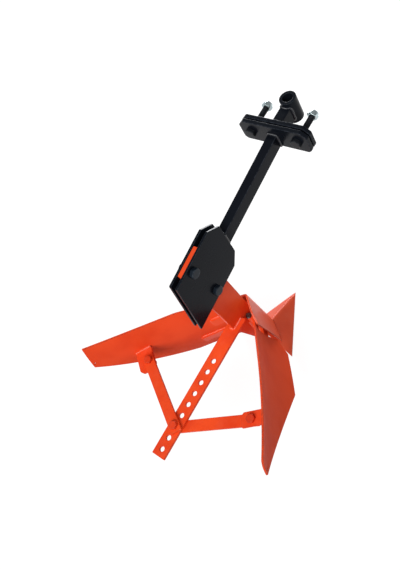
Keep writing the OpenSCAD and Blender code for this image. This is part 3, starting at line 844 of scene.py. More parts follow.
# Black satin: lighter, bluish edge tone, a painted highlight on rounded edges in part, worn paint in part
BLACK = PaintFinish(
    "black_satin", "black_paint", gloss=0.17, bump=0.10, edge_wear_and_shading_level=0.45, film=0.01, shine=0.07,
    colour=(0.005, 0.0065, 0.010), deep=(0.004, 0.005, 0.008),
    edge_wear_and_shading=(0.07, 0.08, 0.10), dust=(0.05, 0.055, 0.07))
# Black bolts: lighter, bluish edge tone, a painted highlight on edges and thread crests in part, worn paint
# in part
BOLT_BLACK = PaintFinish(
    "black_bolt", "black_bolts", gloss=0.34, bump=0.12, edge_wear_and_shading_level=0.5, film=0.02, shine=0.12,
    colour=(0.009, 0.010, 0.013), deep=(0.006, 0.007, 0.009),
    edge_wear_and_shading=(0.06, 0.07, 0.08), dust=(0.10, 0.11, 0.13))
# Blued bolts: lighter, bluish edge tone, a painted highlight on edges and thread crests in part, worn paint
# in part
BLUED = PaintFinish(
    "blued_bolt", "black_bolts", gloss=0.22, bump=0.12, edge_wear_and_shading_level=0.6, film=0.02, shine=0.15,
    colour=(0.009, 0.014, 0.021), deep=(0.006, 0.009, 0.014),
    edge_wear_and_shading=(0.05, 0.07, 0.09), dust=(0.08, 0.09, 0.11))
BLACK_WELD = PaintFinish(
    "black_weld", "black_paint", gloss=0.10, bump=0.08, edge_wear_and_shading_level=0.4, film=0.01, shine=0.60,
    colour=(0.006, 0.0075, 0.012), deep=(0.004, 0.005, 0.008),
    edge_wear_and_shading=(0.08, 0.09, 0.12), dust=(0.05, 0.055, 0.07))
# Weld beads: base colour and dust tone lighter and pinker than the orange enamel's, which paints a highlight
# on the beads
WELD_PAINTED_HIGHLIGHT = PaintFinish(
    "weld_enamel_painted_highlight", "orange_paint", gloss=0.16, bump=0.10, edge_wear_and_shading_level=0.5, film=0.10, shine=0.6, coat=0.25,
    colour=(0.82, 0.105, 0.038), deep=(0.74, 0.075, 0.026),
    edge_wear_and_shading=(0.92, 0.40, 0.28), dust=(0.90, 0.45, 0.35))
ZINC = MetalFinish(
    "zinc_plate", "zinc", gloss=0.20, bump=0.05, bright=(0.56, 0.65, 0.66), dull=(0.30, 0.37, 0.39))
# Unpainted steel, darkened to paint the shade of the hinge cavity
BARE_STEEL_PAINTED_SHADE = MetalFinish(
    "bare_steel_painted_shade", "zinc", gloss=0.34, bump=0.08, bright=(0.20, 0.19, 0.18), dull=(0.09, 0.085, 0.08))


def settle(shell: Shell, name: str, finish: Finish, body: Body, replaces: Sequence[str] = (),
           flat_sides: bool = True) -> None:
    """Make a piece, give it its finish, and let it ride on its body.

    Args:
        shell: The piece's surface.
        name: Name of the piece.
        finish: Its finish.
        body: The body that it rides on.
        replaces: CAD nodes that it stands for.
        flat_sides: Whether large faces keep their own normals beside small rounds.
    """
    made = shell.object(name, finish.material())
    if flat_sides:
        normals = made.modifiers.new("even_normals", "WEIGHTED_NORMAL")
        normals.weight = 90
        normals.keep_sharp = False
    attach(made, body.value)
    if replaces:
        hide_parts(*replaces)
    LOG.info("%s: %d points on %s", name, len(made.data.vertices), body.value)


def paint_nodes(finish: Finish, *names: str) -> None:
    """Give CAD nodes a finish through their material slots.

    Args:
        finish: The finish.
        names: The nodes.
    """
    for name in names:
        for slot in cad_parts[name].material_slots:
            slot.material = finish.material()
        LOG.info("%s: keeps its CAD shape in %s", name, finish.name)


# Fasteners


class HexForm(Enum):
    """Outlines of heads and nuts: in each row the share of the height, bore radii, half flats, and the
    weight of the edge tone, which is part wear and part painted light.
    """

    HEAD = ((0.0, 0, 1.1, 0.6), (0.06, 0, 1.2, 0.3), (0.25, 0, 1.2, 0), (0.5, 0, 1.2, 0),
            (0.72, 0, 1.2, 0.1), (0.8, 0, 1.13, 0.4), (0.87, 0, 1.075, 0.7), (0.93, 0, 1.03, 0.9),
            (0.97, 0, 0.985, 0.8), (1.0, 0, 0.93, 0.4), (1.0, 0, 0.5, 0))
    NUT = ((0.03, 1, 0, 0), (0.0, 1.12, 0, 0.2), (0.0, 0, 0.94, 0.4), (0.05, 0, 1.03, 0.8),
           (0.12, 0, 1.13, 0.4), (0.5, 0, 1.2, 0), (0.82, 0, 1.12, 0.3), (0.9, 0, 1.05, 0.8),
           (0.96, 0, 1.0, 0.8), (1.0, 0, 0.92, 0.5), (1.0, 1.14, 0, 0.4), (0.93, 1, 0, 0.2),
           (0.5, 1, 0, 0), (0.03, 1, 0, 0))
    LOCK_NUT = ((0.03, 1, 0, 0), (0.0, 1.12, 0, 0.2), (0.0, 0, 0.94, 0.4), (0.04, 0, 1.03, 0.8),
                (0.09, 0, 1.13, 0.4), (0.35, 0, 1.2, 0), (0.56, 0, 1.12, 0.3), (0.61, 0, 1.05, 0.8),
                (0.65, 0, 0.99, 0.8), (0.68, 0, 0.92, 0.5), (0.70, 0, 0.87, 0.2), (0.84, 0, 0.87, 0.1),
                (0.93, 0, 0.85, 0.3), (0.98, 0, 0.79, 0.6), (1.0, 0, 0.72, 0.5), (1.0, 1.05, 0, 0.2),
                (0.95, 1, 0, 0), (0.5, 1, 0, 0), (0.03, 1, 0, 0))


@dataclass(frozen=True)
class HexFastener:
    """Hexagon heads, nuts and threaded shanks of one thread size."""

    thread: float
    pitch: float
    clearance: float = 0.5
    bore_room: float = 0.08
    corner: float = 1.135
    foot: float = 0.975
    hexagon_steps: int = 96
    shank_steps: int = 40

    @property
    def flats(self) -> float:
        """Width across the flats."""
        return self.thread * 1.5 + 1.0

    @property
    def head_height(self) -> float:
        """Height of a bolt's head."""
        return self.thread * 0.65

    def hole(self, x: float, y: float) -> Array:
        """A round hole that the shank passes with its clearance."""
        return circle(x, y, self.thread / 2 + self.clearance)

    def form(self, form: HexForm, height: float) -> Profile:
        """A head or nut: a hexagon with rounded corners, cut by the cones of its outline.

        Args:
            form: Its outline.
            height: Its height.

        Returns:
            The profile, capped on a head and open on a nut.
        """
        angle = np.linspace(0, 2 * math.pi, self.hexagon_steps, endpoint=False)
        fold = (angle + math.pi / 6) % (math.pi / 3) - math.pi / 6
        half = self.flats / 2
        hexagon = np.minimum(half / np.cos(fold), half * self.corner)
        share, bores, halves, edge_wear_and_shading_level = np.array(form.value).T
        cone = bores * (self.thread / 2 + self.bore_room) + halves * half
        radius = np.minimum(hexagon[None], cone[:, None])
        capped = form is HexForm.HEAD
        if capped:
            radius[0] *= self.foot
        return Profile(share * height, radius, edge_wear_and_shading_level[:, None], capped)

    def shank(self, plain: float, length: float) -> Profile:
        """A shank: plain first, then a screw thread, then a chamfered tip.

        The thread's radius at height h and angle a is a rounded wave of h / pitch - a / (2 pi).

        Args:
            plain: Length before the thread.
            length: Whole length.

        Returns:
            The profile.
        """
        angle = np.linspace(0, 2 * math.pi, self.shank_steps, endpoint=False)
        rows = max(8, int((length - plain) / self.pitch * 8))
        height = np.concatenate([[0.0, plain * 0.98], np.linspace(plain, length, rows)])
        phase = height[:, None] / self.pitch - angle[None] / (2 * math.pi)
        wave = np.abs(2 * (phase - np.floor(phase)) - 1)
        wave = np.clip(wave * 1.25 - 0.1, 0, 1)
        tip = np.clip((length - height) / (0.9 * self.pitch), 0, 1)
        radius = self.thread / 2 - self.pitch * (0.55 * wave + 0.35 * (1 - tip)[:, None])
        radius[:2] = self.thread / 2
        # Thread crests take the edge tone: part worn paint, part painted highlight on black bolts and
        # painted shade on orange ones
        return Profile(height, radius, (wave < 0.25) * 0.5)


M10 = HexFastener(10.0, 1.5)
M12 = HexFastener(12.0, 1.75)

# Sub-assemblies


@dataclass
class Hitch:
    """Pin tube, stub, two bevelled plates, two long bolts and their nuts."""

    bore: float = 20.5
    tube: float = 33.0
    tube_length: float = 54.0
    tube_lip: float = 1.3
    tube_steps: int = 72
    plate_length: float = 152.0
    plate_height: float = 52.0
    corner: float = 12.0
    foot_corner: float = 6.0
    bolt_side: float = 51.0
    bolt_plain: float = 24.0
    bolt_tip: float = 0.0
    nut_back: float = 1.0
    stub_width: float = 22.0
    stub_height: float = 32.0
    bolts: HexFastener = M12

    def build(self) -> None:
        """Build every piece of the hitch."""
        self.pin_tube()
        self.stub()
        self.plate("front", LAYOUT.hitch_front, Body.JAW)
        self.plate("rear", LAYOUT.hitch_back - LAYOUT.hitch_plate, Body.FRAME)
        self.long_bolts()
        self.welds()

    @property
    def stub_end(self) -> float:
        """Distance from the bore back to where the stub's sides meet the tube."""
        return math.sqrt((self.tube / 2) ** 2 - (self.stub_width / 2) ** 2)

    def pin_tube(self) -> None:
        """Tube with rounded lips: a closed ring profile turned about the bore."""
        turn = np.linspace(0, math.pi / 2, 5)
        across, along = self.tube_lip * np.sin(turn), self.tube_lip * (1 - np.cos(turn))
        inner, outer = self.bore / 2 + self.tube_lip, self.tube / 2 - self.tube_lip
        radius = np.concatenate([inner - across[::-1], outer + across])
        height = np.concatenate([along[::-1], along]) - self.tube_length / 2
        # Edge tone on the middle of each lip's round: part worn paint, part painted highlight
        edge_wear_and_shading_level = 0.6 * np.tile(np.sin(2 * turn), 2)
        radius = np.concatenate([radius, radius[::-1], radius[:1]])
        height = np.concatenate([height, -height[::-1], height[:1]])
        edge_wear_and_shading_level = np.concatenate([edge_wear_and_shading_level, edge_wear_and_shading_level, [0.0]])
        radius = np.repeat(radius[:, None], self.tube_steps, 1)
        shell = Shell()
        shell.turn(np.zeros(3), UP, Profile(height, radius, edge_wear_and_shading_level[:, None], capped=False))
        settle(shell, "pin_tube", BLACK, Body.JAW, ["hitch_tube"])

    def stub(self) -> None:
        """Stub with soft edges, from the front plate into the tube's wall."""
        outline = soften(rectangle(self.stub_width / 2, self.stub_height / 2), 1.6)
        lay = flat_lay((-LAYOUT.hitch_front, 0, 0), LEFT, UP, FORWARD)
        plate = RoundedPlate(outline, LAYOUT.hitch_front - self.stub_end - 0.2, lay, radius=1.2)
        settle(plate.shell(), "hitch_stub_looks", BLACK, Body.JAW, ["hitch_stub"])

    def plate(self, label: str, front: float, body: Body) -> None:
        """One plate with bevelled corners and two bolt holes.

        Args:
            label: Front or rear.
            front: Distance from the bore back to its front face.
            body: Body that carries it.
        """
        y, z, c, f = self.plate_length / 2, self.plate_height / 2, self.corner, self.foot_corner
        outline = np.array([[y, z - c], [y - c, z], [c - y, z], [-y, z - c],
                            [-y, f - z], [f - y, -z], [y - f, -z], [y, f - z]])
        holes = [self.bolts.hole(sign * self.bolt_side, 0) for sign in SIGNS]
        lay = flat_lay((-front, 0, 0), LEFT, UP, -FORWARD)
        plate = RoundedPlate(soften(outline, 2.5), LAYOUT.hitch_plate, lay, holes, radius=1.2)
        settle(plate.shell(), f"{label}_plate_looks", BLACK, body, [f"{label}_hitch_plate"])

    def long_bolts(self) -> None:
        """Two bolts with heads behind the rear plate, and bright lock nuts run out to their tips."""
        bolts, nuts = Shell(), Shell()
        nut = self.bolts.thread
        for sign in SIGNS:
            seat = sign * self.bolt_side * LEFT - LAYOUT.hitch_back * FORWARD
            bolts.turn(seat, -FORWARD, self.bolts.form(HexForm.HEAD, self.bolts.head_height))
            bolts.turn(seat, FORWARD, self.bolts.shank(self.bolt_plain, LAYOUT.hitch_back - self.bolt_tip))
            seat = sign * self.bolt_side * LEFT - (self.bolt_tip + self.nut_back + nut) * FORWARD
            nuts.turn(seat, FORWARD, self.bolts.form(HexForm.LOCK_NUT, nut))
        settle(bolts, "long_hitch_bolts", BOLT_BLACK, Body.FRAME, ["hitch_bolts"])
        settle(nuts, "lock_nuts", ZINC, Body.FRAME, ["hitch_nuts"])

    @staticmethod
    def round_section(half_width: float, half_height: float, x: float, lift: float = 0.0) -> Array:
        """Path of a bead round a bar's section at x, with the section's middle lifted."""
        ring = resample(soften(rectangle(half_width, half_height), 3.0), 2.0)
        return np.stack([np.full(len(ring), x), ring[:, 0], ring[:, 1] + lift], -1)

    def welds(self) -> None:
        """Beads round the drawbar at the rear plate, round the stub at the front plate, and up the tube."""
        back, rise = LAYOUT.hitch_back, LAYOUT.drawbar_rise
        tall = LAYOUT.drawbar_height / 2 / math.cos(rise)
        shell = Shell()
        path = self.round_section(LAYOUT.half_drawbar, tall, -back - 1.0, -math.tan(rise) * back)
        shell.bead(path, radius=3.4, closed=True)
        settle(shell, "drawbar_weld", BLACK_WELD, Body.FRAME, flat_sides=False)
        shell = Shell()
        w, h = self.stub_width / 2, self.stub_height / 2
        shell.bead(self.round_section(w, h, 1.0 - LAYOUT.hitch_front), radius=3.2, closed=True)
        turn = np.linspace(-0.8, 0.8, 20)
        near = self.tube / 2 + 0.2
        for sign in SIGNS:
            x, y = -self.stub_end - 0.6, sign * (w + 0.2)
            shell.bead(np.array([[x, y, -h], [x, y, h]]), radius=2.8)
            arc = np.stack([-near * np.cos(turn), near * np.sin(turn), np.full(20, sign * (h + 0.2))], -1)
            shell.bead(arc, radius=2.6)
        settle(shell, "stub_welds", BLACK_WELD, Body.JAW, flat_sides=False)


@dataclass
class Drawbar:
    """Drawbar, cheek plates and the two bolts across them, in the drawbar's frame."""

    front: float = 279.0
    top_back: float = 409.0
    bottom_back: float = 445.0
    half_height: float = 63.0
    corner: float = 23.0
    lean: float = 7.0
    tongue: float = 36.0
    tongue_lap: float = 4.0
    tongue_room: float = 0.02
    bar_room: float = 0.05
    bar_rows: int = 12
    washer: float = 2.0
    bolt_plain: float = 20.0
    bolt_tail: float = 0.6
    nut_share: float = 0.45
    bolts: HexFastener = M12

    def front_edge(self, up: Array | float) -> Array | float:
        """Place of the cheeks' leaning front edge along the drawbar, at heights square to it."""
        return -self.front + self.lean * up / (self.half_height - self.corner)

    def build(self) -> None:
        """Build every piece of the drawbar."""
        self.bar()
        for side in Side:
            self.cheek_plate(side)
        self.cross_bolts()
        self.welds()

    def bar(self) -> None:
        """Drawbar: a rounded section from the rear plate to the cheeks, and a tongue between the cheeks."""
        h, rise = LAYOUT.drawbar_height / 2, LAYOUT.drawbar_rise
        section = soften(rectangle(LAYOUT.half_drawbar, h), 1.6)
        start = -LAYOUT.hitch_back / math.cos(rise) + section[:, 1] * math.tan(rise)
        stop = self.front_edge(section[:, 1]) + self.bar_room
        points = np.empty((self.bar_rows, len(section), 3))
        points[..., 0] = start + np.linspace(0, 1, self.bar_rows)[:, None] * (stop - start)
        points[..., 1:] = section
        points = LAYOUT.drawbar(points)
        # Edge tone on the section's rounded corners: part worn paint, part painted highlight
        corner = 0.8 * np.tile(np.sin(np.linspace(0, math.pi, 5)), 4)
        faces = grid_faces(self.bar_rows, len(section))
        shell = Shell()
        shell.add(points.reshape(-1, 3), faces, np.tile(corner, self.bar_rows))
        shell.cap(points[0])
        shell.cap(points[-1])
        lay = flat_lay((-self.front - self.tongue, 0, 0), LEFT, UP, FORWARD, LAYOUT.drawbar)
        tongue = rectangle(LAYOUT.standard_thickness / 2 - self.tongue_room, h)
        RoundedPlate(tongue, self.tongue + self.tongue_lap, lay, radius=0.6).shell(shell)
        settle(shell, "drawbar_looks", BLACK, Body.FRAME, ["drawbar"])

    def cheek_plate(self, side: Side) -> None:
        """One cheek plate with bevelled front corners and two bolt holes.

        Args:
            side: Left or right.
        """
        h, c = self.half_height, self.corner
        low, high = -self.front - self.lean, -self.front + self.lean
        outline = np.array([[-self.bottom_back, -h], [low - c, -h], [low, c - h],
                            [high, h - c], [high - c, h], [-self.top_back, h]])
        holes = [self.bolts.hole(-LAYOUT.cheek_bolt_back, sign * LAYOUT.cheek_bolt_half) for sign in SIGNS]
        outward = side.value * LEFT
        lay = flat_lay(outward * LAYOUT.half_drawbar, FORWARD, UP, -outward, LAYOUT.drawbar)
        plate = RoundedPlate(soften(outline, 2.0), LAYOUT.cheek_thickness, lay, holes, radius=1.1)
        settle(plate.shell(), f"{side.label}_cheek_looks", BLACK, Body.FRAME, [f"{side.label}_cheek"])

    def cross_bolts(self) -> None:
        """Bolts across the cheeks, heads on the right, with washers and thin nuts on the left."""
        bolts, nuts = Shell(), Shell()
        half, nut = LAYOUT.half_drawbar, self.bolts.thread * self.nut_share
        grip = 2 * half + self.washer
        for sign in SIGNS:
            seat = LAYOUT.drawbar(np.array([-LAYOUT.cheek_bolt_back, -half, sign * LAYOUT.cheek_bolt_half]))
            bolts.turn(seat, -LEFT, self.bolts.form(HexForm.HEAD, self.bolts.head_height))
            bolts.turn(seat, LEFT, self.bolts.shank(self.bolt_plain, grip + nut + self.bolt_tail))
            nuts.turn(seat + LEFT * grip, LEFT, self.bolts.form(HexForm.NUT, nut))
        settle(bolts, "cheek_bolts_looks", BLUED, Body.FRAME, ["cheek_bolts"])
        settle(nuts, "cheek_nuts_looks", BLUED, Body.FRAME, ["cheek_nuts"])
        paint_nodes(BLUED, "cheek_washers")

    def welds(self) -> None:
        """Beads where the cheeks' front edges meet the drawbar, on both sides and across top and bottom."""
        shell = Shell()
        half, h = LAYOUT.half_drawbar, LAYOUT.drawbar_height / 2
        for sign in SIGNS:
            path = [[self.front_edge(up), sign * (half - 0.6), up] for up in (1 - h, h - 1)]
            shell.bead(LAYOUT.drawbar(np.array(path)), radius=1.9)
            x, z = self.front_edge(sign * h) + 0.6, sign * (h + 0.4)
            shell.bead(LAYOUT.drawbar(np.array([[x, 1 - half, z], [x, half - 1, z]])), radius=2.8)
        settle(shell, "cheek_welds", BLACK_WELD, Body.FRAME, flat_sides=False)


@dataclass
class Core:
    """Standard, adjusting bar, breast plate, share and what joins them, in the body frame."""

    bar_width: float = 32.0
    first_hole: float = -107.0
    pitch: float = 25.0
    holes: int = 9
    bar_end: float = 16.0
    top_square: float = 61.0
    taper: float = math.radians(14.0)
    share_thickness: float = 6.0
    share_side_fall: float = 0.82
    share_notch: float = 16.0
    breast_thickness: float = 4.0
    breast_top: Point = (12.0, 22.0)
    breast_foot: Point = (15.3, -146.0)
    breast_seat: float = 0.3
    ridge_foot: float = -128.7
    fold: float = 2.2
    block_half: float = 6.7
    block_span: Point = (-66.0, -36.8)
    seam_span: Point = (1.5, 38.0)
    seam_height: float = -135.0

    def build(self) -> None:
        """Build every piece of the core."""
        self.standard()
        self.adjusting_bar()
        self.share()
        self.breast()
        self.welds()
        paint_nodes(ORANGE, "frog", "hinge_blocks")
        # Hinge hardware in dark steel: bare steel, darkened to paint the shade in the hinge cavity
        paint_nodes(BARE_STEEL_PAINTED_SHADE, "hinge_pins", "hinge_washers", "split_pins")

    def standard(self) -> None:
        """Upright flat bar: square to the drawbar on top, tapered behind, its foot on the share's ridge."""
        half, bar = LAYOUT.standard_width / 2, LAYOUT.bar_thickness
        slope, rise = math.tan(self.taper), math.tan(LAYOUT.drawbar_rise)
        heel = (LAYOUT.roof(-half, 0.0) + bar) / (math.tan(LAYOUT.share_pitch) * slope - 1)
        square = self.top_square / math.cos(LAYOUT.drawbar_rise)
        top = LAYOUT.body_height + square - LAYOUT.drawbar_length * rise
        outline = np.array([[half, top + half * rise], [-half, top - half * rise], [-half, -bar],
                            [heel * slope - half, -bar - heel], [half, LAYOUT.roof(half, 0.0)]])
        holes = []
        for sign in SIGNS:
            place = np.array([-LAYOUT.cheek_bolt_back, 0.0, sign * LAYOUT.cheek_bolt_half])
            x, _, z = LAYOUT.drawbar(place) - LAYOUT.origin
            holes.append(M12.hole(x, z))
        lay = flat_lay(LEFT * LAYOUT.standard_thickness / 2, FORWARD, UP, -LEFT, LAYOUT.body)
        plate = RoundedPlate(soften(outline, 1.4), LAYOUT.standard_thickness, lay, holes)
        settle(plate.shell(), "standard_looks", ORANGE, Body.FRAME, ["standard"])

    def adjusting_bar(self) -> None:
        """Flat bar with a row of punched holes and two prongs round the standard."""
        w, t = self.bar_width / 2, LAYOUT.standard_thickness / 2
        places = self.first_hole - self.pitch * np.arange(self.holes)
        rear, slot = places[-1] - self.bar_end, -LAYOUT.standard_width / 2
        outline = np.array([[rear, -w], [0, -w], [0, -t], [slot, -t], [slot, t], [0, t], [0, w], [rear, w]])
        punched = [M10.hole(x, 0) for x in places]
        lay = flat_lay((0, 0, 0), FORWARD, LEFT, -UP, LAYOUT.body)
        plate = RoundedPlate(soften(outline, 1.4), LAYOUT.bar_thickness, lay, punched, radius=0.8)
        settle(plate.shell(), "adjusting_bar_looks", ORANGE, Body.FRAME, ["adjusting_bar"])

    def share(self) -> None:
        """Share: a roof of two planes with a folded ridge, thinned to an edge where it meets the ground."""
        steep = math.sqrt(1 + math.tan(LAYOUT.share_pitch) ** 2 + self.share_side_fall ** 2)
        wide, back = LAYOUT.share_half_width, LAYOUT.share_corner_back
        outline = np.array([[LAYOUT.share_tip, 0.0], [-back, wide], [self.share_notch, 0.0], [-back, -wide]])

        def lay(x: Array, y: Array, d: Array) -> Array:
            """Roof height, less the depth, but never under the ground."""
            z = np.maximum(LAYOUT.roof(x, y, self.fold) - d * steep, -LAYOUT.share_depth)
            return LAYOUT.body(np.stack([x, y, z], -1))

        plate = RoundedPlate(outline, self.share_thickness, lay, radius=0.7, spacing=4.0)
        settle(plate.shell(), "share_looks", SHARE, Body.FRAME, ["share"])

    def on_breast(self, y: Array, z: Array, d: Array) -> Array:
        """Points of the breast plate, which runs back from its folded ridge on both sides.

        The folded width is sqrt(y^2 + fold^2) - fold, and x is the ridge's place less that width over the
        tangent of the half angle. Depth goes inwards, square to the side that the point is on.

        Args:
            y: Distances to the left.
            z: Heights.
            d: Depths inside the outer face.

        Returns:
            Points in the CAD frame.
        """
        half = LAYOUT.breast_half_angle
        width = np.sqrt(y * y + self.fold ** 2)
        x = LAYOUT.ridge_x(z) - (width - self.fold) / math.tan(half) - d * math.sin(half)
        return LAYOUT.body(np.stack([x, y - d * math.cos(half) * y / width, z], -1))

    def breast(self) -> None:
        """Breast plate: one sheet folded on the ridge, standing on the share."""
        x, z = self.breast_foot
        for _ in range(8):
            z = LAYOUT.roof(x, LAYOUT.breast_half(x, z)) + self.breast_seat
        places = (self.breast_top, LAYOUT.breast_waist, LAYOUT.breast_heel, (x, z))
        left = [(LAYOUT.breast_half(*place), place[1]) for place in places]
        right = [(-half, height) for half, height in reversed(left)]
        toe = (0.0, LAYOUT.roof(LAYOUT.ridge_x(self.ridge_foot), 0.0) + self.breast_seat)
        outline = np.array([(0.0, self.breast_top[1]), *left, toe, *right])
        plate = RoundedPlate(outline, self.breast_thickness, self.on_breast, spacing=4.0)
        settle(plate.shell(), "breast_looks", SHARE, Body.FRAME, ["breast_plate"])

    def welds(self) -> None:
        """Beads between prongs and standard, at the hinge blocks, and along the breast plate's foot."""
        half, t = LAYOUT.standard_width / 2, LAYOUT.standard_thickness / 2
        shell = Shell()
        for sign in SIGNS:
            y = sign * (t + 0.5)
            for z, radius in ((0.4, 2.7), (-LAYOUT.bar_thickness - 0.4, 2.4)):
                shell.bead(LAYOUT.body(np.array([[-half - 1.0, y, z], [-1.0, y, z]])), radius)
        back = -half - 0.6
        shell.bead(LAYOUT.body(np.array([[back, -t, 0.5], [back, t, 0.5]])), radius=3.0)
        low, high = self.block_span
        for sign in SIGNS:
            y = sign * (t + 0.3)
            for x in (LAYOUT.hinge_ahead - self.block_half, LAYOUT.hinge_ahead + self.block_half):
                shell.bead(LAYOUT.body(np.array([[x, y, low], [x, y, high]])), radius=1.8)
        settle(shell, "bar_welds", WELD_PAINTED_HIGHLIGHT, Body.FRAME, flat_sides=False)
        seam = Shell()
        run = np.linspace(*self.seam_span, 30)
        z = LAYOUT.roof(LAYOUT.ridge_x(self.seam_height) - run * 0.9, run) + 1.0
        for sign in SIGNS:
            seam.bead(self.on_breast(sign * run, z, np.full(30, -0.2)), radius=2.0)
        settle(seam, "breast_weld", SHARE, Body.FRAME, flat_sides=False)


@dataclass(frozen=True)
class Lug:
    """How far a lug reaches ahead of its pivot and behind it, and the cuts of its two inner corners."""

    ahead: float
    behind: float
    front_cut: float
    rear_cut: float


LUGS = {Side.LEFT: Lug(11.0, 28.0, 1.0, 7.0), Side.RIGHT: Lug(15.5, 14.0, 7.0, 1.0)}


@dataclass
class Wing:
    """One hollow wing with its lug, pivot bolt and link.

    A place given by two numbers is its distance along the wing from the hinge and its height.
    """

    side: Side
    thickness: float = 4.0
    hollow: float = 330.0
    bend: float = 1500.0
    slope: float = math.radians(5.7)
    middle: Point = (176.0, -24.0)
    offset: float = 22.3
    tip: Point = (321.0, 94.0)
    end: Point = (332.0, 34.0)
    crown: Point = (120.0, 52.0)
    heel: Point = (143.0, -138.0)
    toe: Point = (44.0, -149.0)
    low_height: float = -122.0
    nose_height: float = 14.0
    top_sag: float = 4.0
    top_bow: float = 5.0
    heel_bow: float = 4.0
    slit: float = 4.0
    corner_hole: Point = (324.0, 43.0)
    corner_hole_radius: float = 2.5
    lug_end: float = 20.0
    lug_thickness: float = 6.0
    link_width: float = 24.0
    link_end: float = 14.0
    link_thickness: float = 6.0
    gap: float = 0.3
    washer: float = 2.0
    lug_bolt_plain: float = 10.0
    adjusting_bolt_plain: float = 3.0
    bolt_tail: float = 3.0
    nut_share: float = 0.84
    leaf_height: float = 24.0
    leaf_start: float = 44.0
    leaves: Sequence[Point] = ((66.0, -36.0), (112.0, -90.6))
    bolt: HexFastener = M10

    @property
    def body(self) -> Body:
        """The wing's body."""
        return Body[f"{self.side.name}_WING"]

    @property
    def link_body(self) -> Body:
        """The link's body."""
        return Body[f"{self.side.name}_LINK"]

    @property
    def nut_height(self) -> float:
        """Height of the nuts on the lug's bolt and the adjusting bolt."""
        return self.bolt.thread * self.nut_share

    def build(self) -> None:
        """Build every piece of this wing."""
        self.plate()
        self.lug()
        self.link()
        self.pivot()
        self.adjusting_end()
        self.welds()
        paint_nodes(ORANGE, f"{self.side.label}_hinge_leaves")

    def put(self, shell: Shell, part: str, finish: Finish, body: Body) -> None:
        """Settle a piece that stands for this side's node of the same name."""
        name = f"{self.side.label}_{part}"
        settle(shell, f"{name}_looks", finish, body, [name])

    def face(self, along: Array, up: Array, depth: Array | float) -> Array:
        """How far outboard of the hinge the wing's surface lies, at a depth inboard of its outer face.

        A circle of the hollow's radius is turned about an upright axis at the bend's radius, and the
        whole is sloped, so out = offset - bend + sqrt(ring(b)^2 - a^2), where a and b are the sloped
        distances along and across the hollow and ring(b) = bend + hollow - sqrt((hollow + depth)^2 - b^2).

        Args:
            along: Distances along the wing from the hinge.
            up: Heights above the bar's top face.
            depth: Depths inboard of the outer face.

        Returns:
            Distances outboard of the hinge axis.
        """
        c, s = math.cos(self.slope), math.sin(self.slope)
        du, dz = along - self.middle[0], up - self.middle[1]
        a, b = du * c + dz * s, dz * c - du * s
        ring = self.bend + self.hollow - np.sqrt((self.hollow + depth) ** 2 - b * b)
        return self.offset - self.bend + np.sqrt(ring * ring - a * a)

    def on_face(self, along: Array, up: Array, depth: Array | float) -> Array:
        """Points of the wing's surface in the CAD frame."""
        return LAYOUT.wing(along, self.face(along, up, depth), up, self.side)

    def behind_breast(self, x: float, z: float) -> float:
        """Place of the wing's front edge, a slit behind a point of the breast plate's rear edge.

        Args:
            x: The point's place ahead of the standard.
            z: Its height.

        Returns:
            Distance along the wing from the hinge.
        """
        c, s = math.cos(LAYOUT.wing_angle), math.sin(LAYOUT.wing_angle)
        outward = LAYOUT.breast_half(x, z) - LAYOUT.hinge_side
        return (LAYOUT.hinge_ahead - x) * c + outward * s + self.slit

    @staticmethod
    def bow(start: Point, end: Point, rise: float) -> Array:
        """Points on a shallow parabola between two places.

        Args:
            start: Its first place.
            end: Its last place.
            rise: How far its middle lies to the right of the straight way.

        Returns:
            Points as an n by 2 array.
        """
        p, d = np.array(start), np.subtract(end, start)
        t = np.linspace(0, 1, 25)[:, None]
        right = np.array([d[1], -d[0]]) / np.linalg.norm(d)
        return p + d * t + right * 4 * rise * t * (1 - t)

    def plate(self) -> None:
        """The wing plate: its outline laid on the hollow, bent face."""
        low = (self.behind_breast(*LAYOUT.breast_heel), self.low_height)
        nose = (self.behind_breast(*LAYOUT.breast_waist), self.nose_height)
        back = self.bow(self.tip, self.crown, -self.top_sag)[:-1]
        outline = np.concatenate([[low, self.toe], self.bow(self.heel, self.end, self.heel_bow), back,
                                  self.bow(self.crown, nose, self.top_bow)])
        hole = circle(*self.corner_hole, self.corner_hole_radius, 20)
        # The edge tone also covers the wing's cut walls: painted shade on the plate's edges, in part worn
        # paint
        plate = RoundedPlate(outline, self.thickness, self.on_face, [hole], spacing=5.0, cut_edge_wear_and_shading=0.6)
        self.put(plate.shell(), "wing", WING, self.body)

    def lug_run(self, steps: int) -> Array:
        """Places along the wing from the lug's front edge to its rear edge."""
        lug = LUGS[self.side]
        return np.linspace(LAYOUT.lug_along - lug.ahead, LAYOUT.lug_along + lug.behind, steps)

    def lug(self) -> None:
        """Flat lug from the wing's inner face to the pivot, its outer end following the wing."""
        run, lug = self.lug_run(14), LUGS[self.side]
        near, far = run[0], run[-1]
        seat = self.face(run, np.full(14, -self.lug_thickness / 2), self.thickness + 0.1)
        inner = -LAYOUT.lug_inset - self.lug_end
        end = [[near, inner + lug.front_cut], [near + lug.front_cut, inner], [far - lug.rear_cut, inner],
               [far, inner + lug.rear_cut]]
        outline = soften(np.concatenate([end, np.stack([run, seat], -1)[::-1]]), 1.4)

        def lay(u: Array, w: Array, d: Array) -> Array:
            """Level plate whose top face is at the bar's top face."""
            return LAYOUT.wing(u, w, -d, self.side)

        hole = self.bolt.hole(LAYOUT.lug_along, -LAYOUT.lug_inset)
        plate = RoundedPlate(outline, self.lug_thickness, lay, [hole], radius=0.8)
        self.put(plate.shell(), "lug", WING, self.body)

    @property
    def link_top(self) -> float:
        """Height of the link's top face: above the bar on the left, beneath it on the right."""
        return self.gap + self.link_thickness if self.side is Side.LEFT else -LAYOUT.bar_thickness - self.gap

